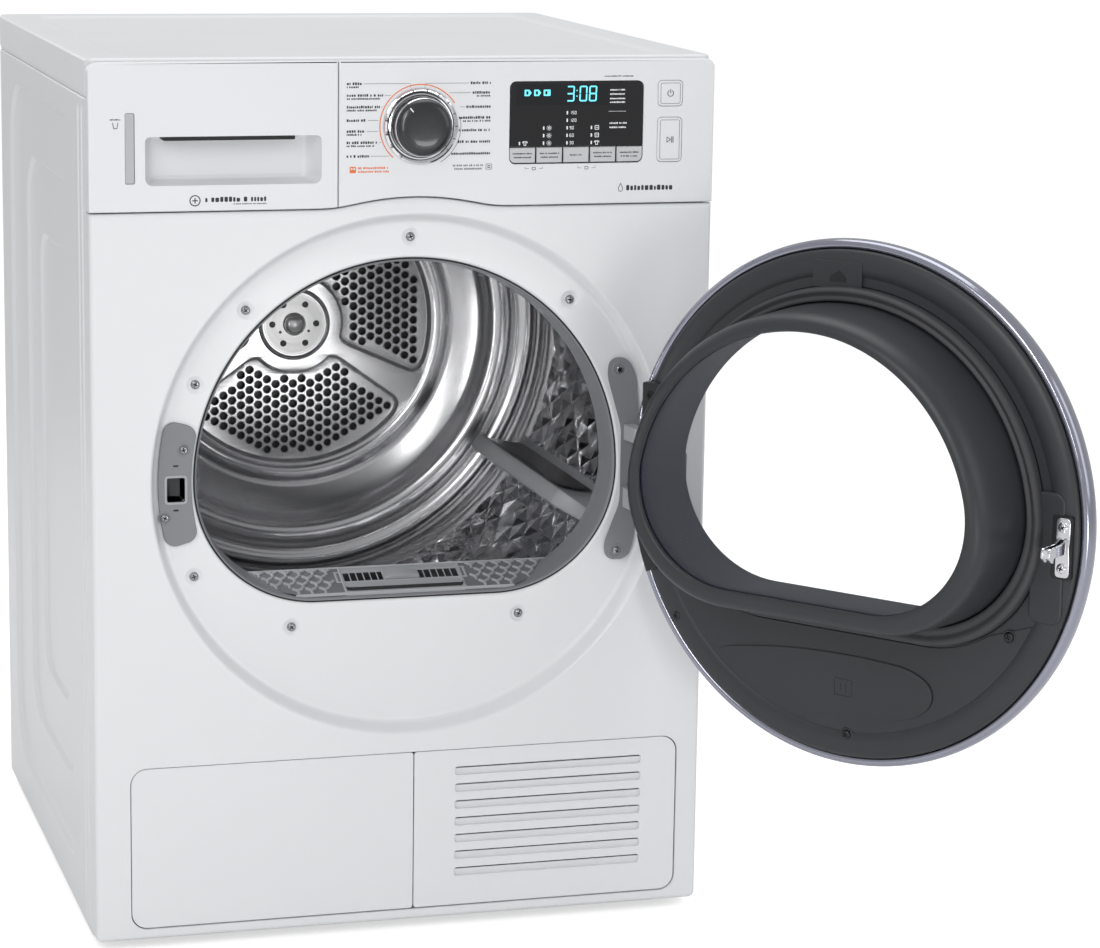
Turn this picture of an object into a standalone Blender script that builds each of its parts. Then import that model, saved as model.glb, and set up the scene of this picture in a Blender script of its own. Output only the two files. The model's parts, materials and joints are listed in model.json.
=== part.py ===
"""Heat-pump clothes dryer, full size, with its round door standing open.

Metres, +Z up, the floor at z = 0. Every piece is placed in cabinet coordinates: x = 0 on the
cabinet's centre line, y = 0 on its front face, +Y towards the back, and the door shut. The
empty "cabinet" moves all of it so that the origin is the bottom centre of the whole dryer as
it stands, and the empty "door_pivot" swings the door open.
"""

import math

import bmesh
import bpy
from mathutils import Matrix, Vector

# Driving dimensions
WIDTH = 0.600
HEIGHT = 0.850
DEPTH = 0.620
FOOT_HEIGHT = 0.012
SHEET = 0.0015
GAP = 0.0005
ORIGIN = (-0.121, -0.101, 0.0)

# Front: the fascia's lower seam, and the round recess that the door shuts into
SEAM_Z = 0.710
SEAM_GAP = 0.0012
FASCIA_TOP = 0.847
FASCIA_DEPTH = 0.0115
DRAWER_EDGE_X = -0.067
PANEL_DEPTH = 0.022
RING_X = 0.007
RING_Z = 0.452
RING_RADIUS = 0.250
RING_FLOOR_RADIUS = 0.244
RING_DEPTH = 0.019
SEAM_BUMP_RADIUS = 0.268
SEAM_HALF_ARCH = 0.092
SEAM_BLEND = 0.002

# Loading opening: a half circle over a flat bottom with large round corners
OPENING = {"radius": 0.208, "flat": 0.122, "half_flat": 0.088}
THROAT_OUTER = {"radius": 0.2074, "flat": 0.1214, "half_flat": 0.088}
THROAT_INNER = {"radius": 0.2025, "flat": 0.1165, "half_flat": 0.086}
THROAT_BACK = 0.062

# Door
DOOR_ANGLE = math.radians(127.6)
HINGE_X = 0.240
HINGE_Y = -0.016
DOOR_FACE_Y = 0.005
DOOR_RADIUS = 0.247
FRAME_RADIUS = 0.238
PLUG_DEPTH = 0.086
PLUG_OUTER = {"radius": 0.188, "flat": 0.096, "half_flat": 0.080}
PLUG_INNER = {"radius": 0.172, "flat": 0.076, "half_flat": 0.075}
WINDOW = {"radius": 0.1715, "flat": 0.0755, "half_flat": 0.075}
SEAL_OUTER = {"radius": 0.2045, "flat": 0.1165, "half_flat": 0.086}
SEAL_INNER = {"radius": 0.1905, "flat": 0.0985, "half_flat": 0.080}
HOOK_X = -0.2185
HOOK_Z = 0.446
ARM_LEVELS = ((0.411, 0.431), (0.478, 0.493))
KNUCKLE_RADIUS = 0.0068
PIN_RADIUS = 0.0040
PIN_HOLE_RADIUS = 0.0043

# Drum
DRUM_X = 0.007
DRUM_Z = 0.517
DRUM_RADIUS = 0.272
DRUM_WALL = 0.002
DRUM_FRONT = 0.066
DRUM_BACK = 0.556
LIFTER_ANGLES = (-33, 87, 207)

# Drive
BELT_FRONT = 0.262
BELT_WIDTH = 0.010
BELT_THICKNESS = 0.002
MOTOR_X = 0.150
MOTOR_Z = 0.125
PULLEY_RADIUS = 0.010
IDLER_X = 0.205
IDLER_Z = 0.205
IDLER_RADIUS = 0.028
ROLLER_RADIUS = 0.030
ROLLER_Y = 0.100
ROLLER_ANGLES = {"support_roller_left": 235, "support_roller_right": 305}

# Controls
KNOB_X = 0.011
KNOB_Z = 0.786
DISPLAY_LEFT = 0.097
DISPLAY_RIGHT = 0.229
DISPLAY_BOTTOM = 0.749
DISPLAY_TOP = 0.827
KEY_TOP = 0.765
KEY_COUNT = 5
BUTTON_LEFT = 0.243
BUTTON_RIGHT = 0.268
PUSH_BUTTONS = {"power_button": (0.802, 0.827), "start_button": (0.749, 0.792)}

# Lower front: the lid over the heat exchanger, and the vent beside it
KICK_BOTTOM = 0.0225
KICK_TOP = 0.1815
KICK_LEFT = -0.2665
KICK_RIGHT = 0.2775
LID_RIGHT = 0.010
VENT_SLOTS = 7
VENT_PITCH = 0.017
VENT_LOW = 0.053

FOOT_X = 0.235
FOOT_FRONT_Y = 0.085
FOOT_BACK_Y = 0.545
ARC_STEPS = 10


# --- Scene and materials ---------------------------------------------------------------------

def clear_scene():
    for old in list(bpy.data.objects):
        bpy.data.objects.remove(old, do_unlink=True)


def new_collection(name):
    collection = bpy.data.collections.new(name)
    bpy.context.scene.collection.children.link(collection)
    return collection


def finish(name, colour, roughness, metallic=0.0, alpha=1.0):
    """One Principled material, opaque unless alpha says otherwise."""
    made = bpy.data.materials.new(name)
    made.use_nodes = True
    shader = made.node_tree.nodes["Principled BSDF"]
    shader.inputs["Base Color"].default_value = (*colour, 1.0)
    shader.inputs["Roughness"].default_value = roughness
    shader.inputs["Metallic"].default_value = metallic
    shader.inputs["Alpha"].default_value = alpha
    return made


clear_scene()
PARTS = new_collection("clothes_dryer")
CUTTERS = new_collection("cutters")

WHITE_PAINT = finish("white_paint", (0.86, 0.87, 0.88), 0.35)
WHITE_PLASTIC = finish("white_plastic", (0.84, 0.85, 0.86), 0.40)
ZINC_STEEL = finish("zinc_steel", (0.55, 0.56, 0.58), 0.45, 1.0)
STAINLESS = finish("stainless", (0.62, 0.62, 0.63), 0.25, 1.0)
CHROME = finish("chrome", (0.80, 0.80, 0.82), 0.08, 1.0)
DARK_PLASTIC = finish("dark_plastic", (0.050, 0.052, 0.056), 0.45)
GREY_PLASTIC = finish("grey_plastic", (0.30, 0.31, 0.33), 0.50)
LIGHT_GREY_PLASTIC = finish("light_grey_plastic", (0.55, 0.56, 0.58), 0.50)
BLACK_GLASS = finish("black_glass", (0.006, 0.006, 0.008), 0.05)
BLACK_GLOSS = finish("black_gloss", (0.020, 0.020, 0.022), 0.15)
SILVER_RIM = finish("silver_rim", (0.50, 0.51, 0.58), 0.20, 1.0)
CLEAR_GLASS = finish("clear_glass", (0.85, 0.88, 0.95), 0.03, 0.0, 0.20)
RUBBER = finish("rubber", (0.030, 0.030, 0.032), 0.75)
ALUMINIUM = finish("aluminium", (0.70, 0.71, 0.72), 0.35, 1.0)
BLACK_STEEL = finish("black_steel", (0.025, 0.025, 0.027), 0.40)
GREEN_BOARD = finish("green_board", (0.020, 0.140, 0.060), 0.50)


# --- Outlines --------------------------------------------------------------------------------

def arc(centre_x, centre_y, radius, start, end, steps=ARC_STEPS):
    """Points on an arc, angles in degrees, both ends included."""
    points = []
    for step in range(steps + 1):
        angle = math.radians(start + (end - start) * step / steps)
        points.append((centre_x + radius * math.cos(angle), centre_y + radius * math.sin(angle)))
    return points


def circle(centre_x, centre_y, radius, steps=64):
    return arc(centre_x, centre_y, radius, 0, 360, steps)[:-1]


def rounded_rectangle(left, bottom, right, top, radius, steps=4):
    points = arc(right - radius, top - radius, radius, 0, 90, steps)
    points += arc(left + radius, top - radius, radius, 90, 180, steps)
    points += arc(left + radius, bottom + radius, radius, 180, 270, steps)
    points += arc(right - radius, bottom + radius, radius, 270, 360, steps)
    return points


def rectangle(left, bottom, right, top):
    return [(left, bottom), (right, bottom), (right, top), (left, top)]


def ring_sector(inner, outer, start, end, chamfer):
    """A band round the door's centre from angle start to end, its corners cut off."""
    turn_in = math.degrees(chamfer / outer)
    points = arc(RING_X, RING_Z, outer, start + turn_in, end - turn_in, 6)
    points += arc(RING_X, RING_Z, outer - chamfer, end, end, 1)[:1]
    points += arc(RING_X, RING_Z, inner + chamfer, end, end, 1)[:1]
    points += arc(RING_X, RING_Z, inner, end - turn_in, start + turn_in, 6)
    points += arc(RING_X, RING_Z, inner + chamfer, start, start, 1)[:1]
    points += arc(RING_X, RING_Z, outer - chamfer, start, start, 1)[:1]
    return points


def mouth_outline(radius, flat, half_flat):
    """The opening's outline: a circle over a flat bottom, joined by the largest tangent corners."""
    corner = (radius ** 2 - half_flat ** 2 - flat ** 2) / (2 * (radius - flat))
    join_angle = math.degrees(math.atan2(corner - flat, half_flat))
    corner_z = RING_Z + corner - flat
    points = arc(RING_X, RING_Z, radius, join_angle, 180 - join_angle, 28)
    points += arc(RING_X - half_flat, corner_z, corner, 180 - join_angle, 270)[1:]
    points += arc(RING_X + half_flat, corner_z, corner, 270, 360 + join_angle)[:-1]
    return points


def seam_height(x):
    """The fascia's lower edge: level, and lifted in a low arch over the door."""
    reach = SEAM_BUMP_RADIUS ** 2 - (x - RING_X) ** 2
    arch = RING_Z + math.sqrt(max(reach, 0.0)) - SEAM_Z
    return SEAM_Z + SEAM_BLEND * math.log(1 + math.exp(arch / SEAM_BLEND))


def seam_points(left, right, steps=18):
    """The seam from left to right: two ends, and a curve only where it arches."""
    points = [(left, seam_height(left))]
    for step in range(steps + 1):
        x = RING_X - SEAM_HALF_ARCH + 2 * SEAM_HALF_ARCH * step / steps
        if left + 0.002 < x < right - 0.002:
            points.append((x, seam_height(x)))
    points.append((right, seam_height(right)))
    return points


def belt_outline(pulleys, offset):
    """The tight loop round a set of circles: the convex hull of their outlines."""
    points = []
    for centre_x, centre_z, radius in pulleys:
        points += circle(centre_x, centre_z, radius + offset, 72 if radius > 0.1 else 20)
    points.sort()
    hull = []
    for ordered in (points, points[::-1]):
        start = len(hull)
        for point in ordered:
            while len(hull) - start >= 2 and turn(hull[-2], hull[-1], point) <= 0:
                hull.pop()
            hull.append(point)
        hull.pop()
    return hull


def turn(a, b, c):
    return (b[0] - a[0]) * (c[1] - a[1]) - (b[1] - a[1]) * (c[0] - a[0])


# --- Pieces from modelling tools -------------------------------------------------------------

def place(name, mesh, look, parent, location=(0, 0, 0), rotation=(0, 0, 0)):
    """A piece in cabinet coordinates. With no look it is a cutter or a shape to be joined."""
    piece = bpy.data.objects.new(name, mesh)
    if look is None:
        CUTTERS.objects.link(piece)
        piece.hide_render = True
        piece.display_type = "WIRE"
    else:
        PARTS.objects.link(piece)
        mesh.materials.append(look)
    piece.parent = parent
    if parent is not CABINET:
        piece.matrix_parent_inverse = Matrix.Translation(-parent.location)
    piece.location = location
    piece.rotation_euler = rotation
    return piece


def pivot(name, location, angle=0.0):
    """An empty on a joint's axis, which carries the pieces that move about it."""
    empty = bpy.data.objects.new(name, None)
    PARTS.objects.link(empty)
    empty.parent = CABINET
    empty.location = location
    empty.rotation_euler = (0, 0, angle)
    return empty


def block(name, low, high, look, parent, bevel=0.0):
    low, high = Vector(low), Vector(high)
    mesh = bpy.data.meshes.new(name)
    body = bmesh.new()
    bmesh.ops.create_cube(body, size=1.0)
    bmesh.ops.scale(body, vec=high - low, verts=body.verts)
    body.to_mesh(mesh)
    body.free()
    piece = place(name, mesh, look, parent, (low + high) / 2)
    if bevel:
        soften(piece, bevel)
    return piece


AXIS_TURNS = {"X": (0, math.radians(90), 0), "Y": (math.radians(-90), 0, 0), "Z": (0, 0, 0)}
AXIS_VECTORS = {"X": Vector((1, 0, 0)), "Y": Vector((0, 1, 0)), "Z": Vector((0, 0, 1))}


def rod(name, start, radius, length, axis, look, parent, segments=32):
    """A cylinder from start along +axis."""
    mesh = bpy.data.meshes.new(name)
    body = bmesh.new()
    bmesh.ops.create_cone(
        body, cap_ends=True, segments=segments, radius1=radius, radius2=radius, depth=length
    )
    body.to_mesh(mesh)
    body.free()
    mesh.shade_smooth()
    mesh.set_sharp_from_angle(angle=math.radians(40))
    centre = Vector(start) + AXIS_VECTORS[axis] * (length / 2)
    return place(name, mesh, look, parent, centre, AXIS_TURNS[axis])


def turned(name, profile, centre, axis, look, parent, steps=48, loop=False):
    """A profile of (radius, height) turned about an axis through centre, with a Screw modifier."""
    count = len(profile)
    edges = [(i, i + 1) for i in range(count - 1)]
    if loop:
        edges.append((count - 1, 0))
    mesh = bpy.data.meshes.new(name)
    mesh.from_pydata([(radius, 0, height) for radius, height in profile], edges, [])
    piece = place(name, mesh, look, parent, centre, AXIS_TURNS[axis])
    screw = piece.modifiers.new("turn", "SCREW")
    screw.steps = steps
    screw.render_steps = steps
    screw.use_merge_vertices = True
    screw.merge_threshold = 0.00005
    return piece


def ring(name, inner, outer, low, high, centre, axis, look, parent, steps=48):
    profile = [(outer, high), (outer, low), (inner, low), (inner, high)]
    return turned(name, profile, centre, axis, look, parent, steps, loop=True)


PLATE_TURNS = {
    "X": (math.radians(90), 0, math.radians(90)),
    "Y": (math.radians(90), 0, 0),
    "Z": (0, 0, 0),
}


def plate(name, outlines, low, high, axis, look, parent):
    """Flat outlines filled and extruded from low to high along axis; inner outlines are holes."""
    curve = bpy.data.curves.new(name, "CURVE")
    curve.dimensions = "2D"
    curve.fill_mode = "BOTH"
    curve.extrude = (high - low) / 2
    for outline in outlines:
        spline = curve.splines.new("POLY")
        spline.points.add(len(outline) - 1)
        for point, (u, v) in zip(spline.points, outline):
            point.co = (u, v, 0, 1)
        spline.use_cyclic_u = True
    source = bpy.data.objects.new(name + "_outline", curve)
    bpy.context.scene.collection.objects.link(source)
    bpy.context.view_layer.update()
    graph = bpy.context.evaluated_depsgraph_get()
    mesh = bpy.data.meshes.new_from_object(source.evaluated_get(graph))
    bpy.data.objects.remove(source, do_unlink=True)
    mesh.materials.clear()
    body = bmesh.new()
    body.from_mesh(mesh)
    bmesh.ops.remove_doubles(body, verts=body.verts, dist=0.000005)
    body.to_mesh(mesh)
    body.free()
    centre = AXIS_VECTORS[axis] * ((low + high) / 2)
    return place(name, mesh, look, parent, centre, PLATE_TURNS[axis])


def boolean(target, tool, operation):
    step = target.modifiers.new(operation.lower() + "_" + tool.name, "BOOLEAN")
    step.operation = operation
    step.solver = "EXACT"
    step.object = tool


def cut(target, *tools):
    for tool in tools:
        boolean(target, tool, "DIFFERENCE")


def join(target, *tools):
    for tool in tools:
        boolean(target, tool, "UNION")


def soften(piece, width, segments=2):
    bevel = piece.modifiers.new("edges", "BEVEL")
    bevel.width = width
    bevel.segments = segments
    bevel.limit_method = "ANGLE"


# --- Cabinet ---------------------------------------------------------------------------------

def make_base():
    base = block(
        "base_moulding", (-0.296, 0.024, FOOT_HEIGHT), (0.296, 0.608, 0.042), WHITE_PLASTIC, CABINET
    )
    for x in (-FOOT_X, FOOT_X):
        for y in (FOOT_FRONT_Y, FOOT_BACK_Y):
            hole = rod("foot_hole", (x, y, 0), 0.0056, 0.06, "Z", None, CABINET, 16)
            cut(base, hole)


def make_feet():
    names = {
        "foot_front_left": (-FOOT_X, FOOT_FRONT_Y),
        "foot_front_right": (FOOT_X, FOOT_FRONT_Y),
        "foot_back_left": (-FOOT_X, FOOT_BACK_Y),
        "foot_back_right": (FOOT_X, FOOT_BACK_Y),
    }
    for name, (x, y) in names.items():
        profile = [(0, 0.038), (0.005, 0.038), (0.005, 0.010), (0.019, 0.009), (0.020, 0), (0, 0)]
        turned(name, profile, (x, y, 0), "Z", DARK_PLASTIC, CABINET, 24)


def make_front_panel():
    half = WIDTH / 2
    top = [(x, z - SEAM_GAP) for x, z in seam_points(-half, half)]
    outline = [(half, FOOT_HEIGHT)] + top[::-1] + [(-half, FOOT_HEIGHT)]
    panel = plate("front_panel", [outline], 0, PANEL_DEPTH, "Y", WHITE_PAINT, CABINET)

    inset = half - SHEET
    inner_top = [(x, z - SEAM_GAP - SHEET) for x, z in seam_points(-inset, inset)]
    inner = [(inset, FOOT_HEIGHT + SHEET)] + inner_top[::-1] + [(-inset, FOOT_HEIGHT + SHEET)]
    dish = circle(RING_X, RING_Z, RING_RADIUS + SHEET)
    back = plate("panel_hollow", [inner, dish], SHEET, 0.03, "Y", None, CABINET)
    cut(panel, back)

    recess_profile = [(0, RING_DEPTH), (RING_FLOOR_RADIUS, RING_DEPTH), (RING_RADIUS, 0.003),
                      (RING_RADIUS, -0.01), (0, -0.01)]
    recess = turned(
        "ring_recess", recess_profile, (RING_X, 0, RING_Z), "Y", None, CABINET, 64
    )
    mouth = plate("panel_mouth", [mouth_outline(**OPENING)], -0.01, 0.04, "Y", None, CABINET)
    kick = rounded_rectangle(KICK_LEFT, KICK_BOTTOM, KICK_RIGHT, KICK_TOP, 0.016)
    kick_hole = plate("kick_hole", [kick], -0.01, 0.04, "Y", None, CABINET)
    hook_hole = block(
        "panel_hook_hole", (HOOK_X - 0.009, 0, HOOK_Z - 0.012), (HOOK_X + 0.009, 0.04, HOOK_Z + 0.012),
        None, CABINET
    )
    cut(panel, recess, mouth, kick_hole, hook_hole)


def make_side_panels():
    half = WIDTH / 2
    front, back = PANEL_DEPTH + GAP, 0.6115
    flange = 0.016
    for name, side in (("side_panel_left", -1), ("side_panel_right", 1)):
        outline = [
            (side * half, front),
            (side * half, back),
            (side * (half - flange), back),
            (side * (half - flange), back - SHEET),
            (side * (half - SHEET), back - SHEET),
            (side * (half - SHEET), front + SHEET),
            (side * (half - flange), front + SHEET),
            (side * (half - flange), front),
        ]
        plate(name, [outline], FOOT_HEIGHT, 0.8135, "Z", WHITE_PAINT, CABINET)


def make_rear_panel():
    outline = rectangle(-0.296, FOOT_HEIGHT, 0.296, 0.8135)
    louvres = []
    for row in range(6):
        for column in range(3):
            left = -0.20 + column * 0.15
            bottom = 0.10 + row * 0.018
            louvres.append(rectangle(left, bottom, left + 0.10, bottom + 0.007))
    plate("rear_panel", [outline] + louvres, 0.612, 0.612 + SHEET, "Y", ZINC_STEEL, CABINET)


def make_top_panel():
    half = WIDTH / 2
    front = FASCIA_DEPTH + GAP
    outline = rounded_rectangle(-half, front, half, DEPTH, 0.008)
    top = plate("top_panel", [outline], 0.814, HEIGHT, "Z", WHITE_PLASTIC, CABINET)
    dip = rounded_rectangle(-half + 0.034, front + 0.026, half - 0.034, DEPTH - 0.030, 0.010)
    surface = plate("top_surface", [dip], HEIGHT - 0.002, HEIGHT + 0.01, "Z", None, CABINET)
    hollow = rounded_rectangle(-half + 0.004, front + 0.004, half - 0.004, DEPTH - 0.004, 0.006)
    underside = plate("top_hollow", [hollow], 0.81, HEIGHT - 0.006, "Z", None, CABINET)
    cut(top, surface, underside)


def make_lower_front():
    left = LID_RIGHT + 0.001
    right, bottom, top, corner = KICK_RIGHT - 0.001, KICK_BOTTOM + 0.001, KICK_TOP - 0.001, 0.015
    outline = [(left, top), (left, bottom)]
    outline += arc(right - corner, bottom + corner, corner, 270, 360, 4)
    outline += arc(right - corner, top - corner, corner, 0, 90, 4)
    slots = []
    for row in range(VENT_SLOTS):
        low = VENT_LOW + row * VENT_PITCH
        slots.append(rounded_rectangle(0.051, low, 0.240, low + 0.008, 0.003, 2))
    plate("vent_grille", [outline] + slots, 0.0003, 0.0035, "Y", WHITE_PLASTIC, CABINET)

    cover = block(
        "exchanger_cover", (-0.262, 0.040, 0.0425), (0.004, 0.052, 0.186), WHITE_PLASTIC, CABINET
    )
    for name, x in (("cover_lock_left", -0.235), ("cover_lock_right", -0.023)):
        bore = rod("lock_bore", (x, 0.03, 0.114), 0.0062, 0.04, "Y", None, CABINET, 16)
        cut(cover, bore)
        axle = pivot(name + "_axis", (x, 0.035, 0.114))
        lever = plate(
            name, [rounded_rectangle(x - 0.008, 0.094, x + 0.008, 0.134, 0.007, 3)],
            0.030, 0.0395, "Y", GREY_PLASTIC, axle
        )
        join(lever, rod("lock_stem", (x, 0.036, 0.114), 0.0055, 0.018, "Y", None, axle, 16))


def make_exchanger_lid():
    hinge = pivot("lid_axis", (-0.128, 0.0005, 0.0275))
    edge = 0.001
    left, right = KICK_LEFT + edge, LID_RIGHT - edge / 2
    lid = plate(
        "exchanger_lid",
        [rounded_rectangle(left, KICK_BOTTOM + edge, right, KICK_TOP - edge, 0.015)],
        0.0003, 0.0033, "Y", WHITE_PLASTIC, hinge
    )
    for x in (-0.200, -0.060):
        join(lid, block("lid_clip", (x - 0.012, 0.003, 0.160), (x + 0.012, 0.020, 0.166), None, hinge))


# --- Fascia and its controls -----------------------------------------------------------------

def fascia_shell(name, left, right, look, parent, pocket=None):
    """A fascia panel: a thin front with a folded edge, hollow behind, a solid patch round pocket."""
    seam = [(x, z + 0.0002) for x, z in seam_points(left, right)]
    outline = [(right, FASCIA_TOP), (left, FASCIA_TOP)] + seam
    shell = plate(name, [outline], 0, FASCIA_DEPTH, "Y", look, parent)
    wall = 0.003
    inner_seam = [(x, z + wall) for x, z in seam_points(left + wall, right - wall)]
    inner = [(right - wall, FASCIA_TOP - wall), (left + wall, FASCIA_TOP - wall)] + inner_seam
    outlines = [inner] if pocket is None else [inner, pocket]
    hollow = plate(name + "_hollow", outlines, wall, FASCIA_DEPTH + 0.01, "Y", None, parent)
    cut(shell, hollow)
    return shell


def make_control_panel():
    panel = fascia_shell("control_panel", DRAWER_EDGE_X + 0.0004, WIDTH / 2, WHITE_PLASTIC, CABINET)
    display_hole = rounded_rectangle(DISPLAY_LEFT, DISPLAY_BOTTOM, DISPLAY_RIGHT, DISPLAY_TOP, 0.0012)
    cut(panel, plate("display_hole", [display_hole], -0.01, 0.02, "Y", None, CABINET))
    cut(panel, rod("knob_hole", (KNOB_X, -0.01, KNOB_Z), 0.006, 0.03, "Y", None, CABINET, 20))
    for name, (bottom, top) in PUSH_BUTTONS.items():
        hole = rounded_rectangle(BUTTON_LEFT, bottom, BUTTON_RIGHT, top, 0.004)
        cut(panel, plate(name + "_hole", [hole], -0.01, 0.02, "Y", None, CABINET))


def make_controls():
    edge = 0.0004
    glass = rounded_rectangle(
        DISPLAY_LEFT + edge, KEY_TOP + edge, DISPLAY_RIGHT - edge, DISPLAY_TOP - edge, 0.001
    )
    plate("display_glass", [glass], -0.0003, 0.004, "Y", BLACK_GLASS, CABINET)

    pitch = (DISPLAY_RIGHT - DISPLAY_LEFT) / KEY_COUNT
    for key in range(KEY_COUNT):
        left = DISPLAY_LEFT + key * pitch + edge
        block(
            f"option_key_{key + 1}", (left, 0.0, DISPLAY_BOTTOM + edge),
            (left + pitch - 2 * edge, 0.007, KEY_TOP - edge), LIGHT_GREY_PLASTIC, CABINET
        )
    for name, (bottom, top) in PUSH_BUTTONS.items():
        outline = rounded_rectangle(
            BUTTON_LEFT + edge, bottom + edge, BUTTON_RIGHT - edge, top - edge, 0.0036
        )
        plate(name, [outline], -0.0012, 0.008, "Y", WHITE_PLASTIC, CABINET)

    ring("knob_bezel", 0.0285, 0.036, -0.0035, -0.0003, (KNOB_X, 0, KNOB_Z), "Y", CHROME, CABINET)
    knob = [(0, 0.013), (0.0055, 0.013), (0.0055, -0.0008), (0.0275, -0.0008),
            (0.0265, -0.014), (0.0245, -0.0185), (0, -0.0205)]
    turned("program_knob", knob, (KNOB_X, 0, KNOB_Z), "Y", BLACK_GLOSS, CABINET)
    block("circuit_board", (-0.050, 0.0160, 0.735), (0.290, 0.0176, 0.808), GREEN_BOARD, CABINET)


def make_water_drawer():
    pocket = rectangle(-0.2515, 0.7305, -0.0795, 0.7865)
    front = fascia_shell(
        "drawer_front", -WIDTH / 2, DRAWER_EDGE_X - 0.0004, WHITE_PLASTIC, CABINET, pocket
    )
    box = block("grip_box", (-0.2515, 0.003, 0.7305), (-0.0795, 0.030, 0.7865), None, CABINET)
    scoop = block("grip_scoop", (-0.248, -0.01, 0.734), (-0.083, 0.0265, 0.779), None, CABINET)
    undercut = block("grip_undercut", (-0.231, 0.0065, 0.77), (-0.108, 0.0265, 0.783), None, CABINET)
    join(front, box)
    cut(front, scoop, undercut)

    low, high = Vector((-0.2825, 0.0315, 0.752)), Vector((-0.1415, 0.450, 0.808))
    wall = 0.0025
    tank = block("water_tank", low, high, LIGHT_GREY_PLASTIC, CABINET)
    inside = block(
        "tank_inside", low + Vector((wall, wall, wall)), high + Vector((-wall, -wall, 0.01)),
        None, CABINET
    )
    cut(tank, inside)


# --- Loading opening -------------------------------------------------------------------------

def make_front_bulkhead():
    outline = rounded_rectangle(-0.284, 0.196, 0.284, 0.700, 0.03)
    hole = mouth_outline(**OPENING)
    bulkhead = plate("front_bulkhead", [outline, hole], 0.0265, 0.0345, "Y", GREY_PLASTIC, CABINET)
    lock_room = block(
        "lock_room", (HOOK_X - 0.016, 0.02, HOOK_Z - 0.032), (HOOK_X + 0.012, 0.04, HOOK_Z + 0.032),
        None, CABINET
    )
    cut(bulkhead, lock_room)
    for name in ROLLER_ANGLES:
        x, z = roller_centre(name)
        join(bulkhead, rod(name + "_axle", (x, 0.030, z), 0.005, 0.085, "Y", None, CABINET, 20))


def make_throat():
    throat = plate(
        "opening_throat", [mouth_outline(**THROAT_OUTER), mouth_outline(**THROAT_INNER)],
        0.0185, THROAT_BACK, "Y", GREY_PLASTIC, CABINET
    )
    cut(throat, filter_slot("throat_slot"))


def filter_slot(name):
    return block(name, (-0.0625, 0.0385, 0.32), (0.0765, 0.0575, 0.36), None, CABINET)


def make_lint_grille():
    """The shelf over the filter: the lower part of the throat's inside, cut level on top."""
    inside = {key: THROAT_INNER[key] - GAP for key in THROAT_INNER}
    level = 0.350
    outline = [(x, z) for x, z in mouth_outline(**inside) if z < level]
    grille = plate("lint_grille", [outline], 0.024, THROAT_BACK, "Y", LIGHT_GREY_PLASTIC, CABINET)
    cut(grille, filter_slot("grille_slot"))


def make_lint_filter():
    screen = block("lint_filter", (-0.060, 0.0405, 0.200), (0.074, 0.0555, 0.348), GREY_PLASTIC, CABINET)
    window = block("filter_window", (-0.050, 0.030, 0.212), (0.064, 0.0535, 0.318), None, CABINET)
    grip = block("filter_grip", (-0.020, 0.030, 0.328), (0.034, 0.0525, 0.340), None, CABINET)
    cut(screen, window, grip)


def make_door_lock():
    cover = ring_sector(0.2105, 0.2425, 166, 195, 0.007)
    hook_hole = rounded_rectangle(
        HOOK_X - 0.0085, HOOK_Z - 0.0115, HOOK_X + 0.0085, HOOK_Z + 0.0115, 0.002, 2
    )
    plate("lock_cover", [cover, hook_hole], 0.0158, 0.0187, "Y", GREY_PLASTIC, CABINET)

    housing = block(
        "lock_housing", (HOOK_X - 0.0155, 0.0222, HOOK_Z - 0.030), (HOOK_X + 0.0115, 0.052, HOOK_Z + 0.030),
        DARK_PLASTIC, CABINET
    )
    catch_room = block(
        "catch_room", (HOOK_X - 0.0085, 0.02, HOOK_Z - 0.0115), (HOOK_X + 0.0085, 0.047, HOOK_Z + 0.0115),
        None, CABINET
    )
    cut(housing, catch_room)


# --- Hinge and door --------------------------------------------------------------------------

def make_hinge_bracket():
    """A waisted plate on the recess floor, with two swan-necked arms out to the pin."""
    outline = [
        (0.209, 0.558), (0.219, 0.558), (0.230, 0.540), (0.235, 0.500), (0.235, 0.410),
        (0.230, 0.372), (0.224, 0.360), (0.208, 0.360), (0.205, 0.372), (0.219, 0.415),
        (0.219, 0.490), (0.206, 0.545),
    ]
    bracket = plate("hinge_bracket", [outline], 0.0155, 0.0187, "Y", GREY_PLASTIC, CABINET)
    arm = [
        (0.2335, -0.0195), (0.2240, -0.0080), (0.2205, 0.0180), (0.2300, 0.0180),
        (0.2325, -0.0030), (0.2400, -0.0095),
    ]
    for low, high in ARM_LEVELS:
        join(
            bracket,
            plate("hinge_arm", [arm], low, high, "Z", None, CABINET),
            rod("knuckle", (HINGE_X, HINGE_Y, low), KNUCKLE_RADIUS, high - low, "Z", None, CABINET, 24),
        )
    bore = rod("knuckle_bore", (HINGE_X, HINGE_Y, 0.40), PIN_HOLE_RADIUS, 0.11, "Z", None, CABINET, 24)
    cut(bracket, bore)
    rod("hinge_pin", (HINGE_X, HINGE_Y, 0.409), PIN_RADIUS, 0.086, "Z", CHROME, CABINET, 24)


def make_hinge_leaf():
    low, high = 0.4330, 0.4760
    leaf = rod("hinge_leaf", (HINGE_X, HINGE_Y, low), KNUCKLE_RADIUS, high - low, "Z", ALUMINIUM, DOOR, 24)
    strap = block("leaf_strap", (0.196, -0.0150, low), (0.236, -0.0110, high), None, DOOR)
    bore = rod("leaf_bore", (HINGE_X, HINGE_Y, low - 0.01), PIN_HOLE_RADIUS, 0.07, "Z", None, DOOR, 24)
    join(leaf, strap)
    cut(leaf, bore)


def hinge_notch(name, front, back):
    """Room in the door's hinge side for the bracket's arms as the door swings."""
    return block(name, (0.2125, front, 0.397), (0.262, back, 0.505), None, DOOR)


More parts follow.
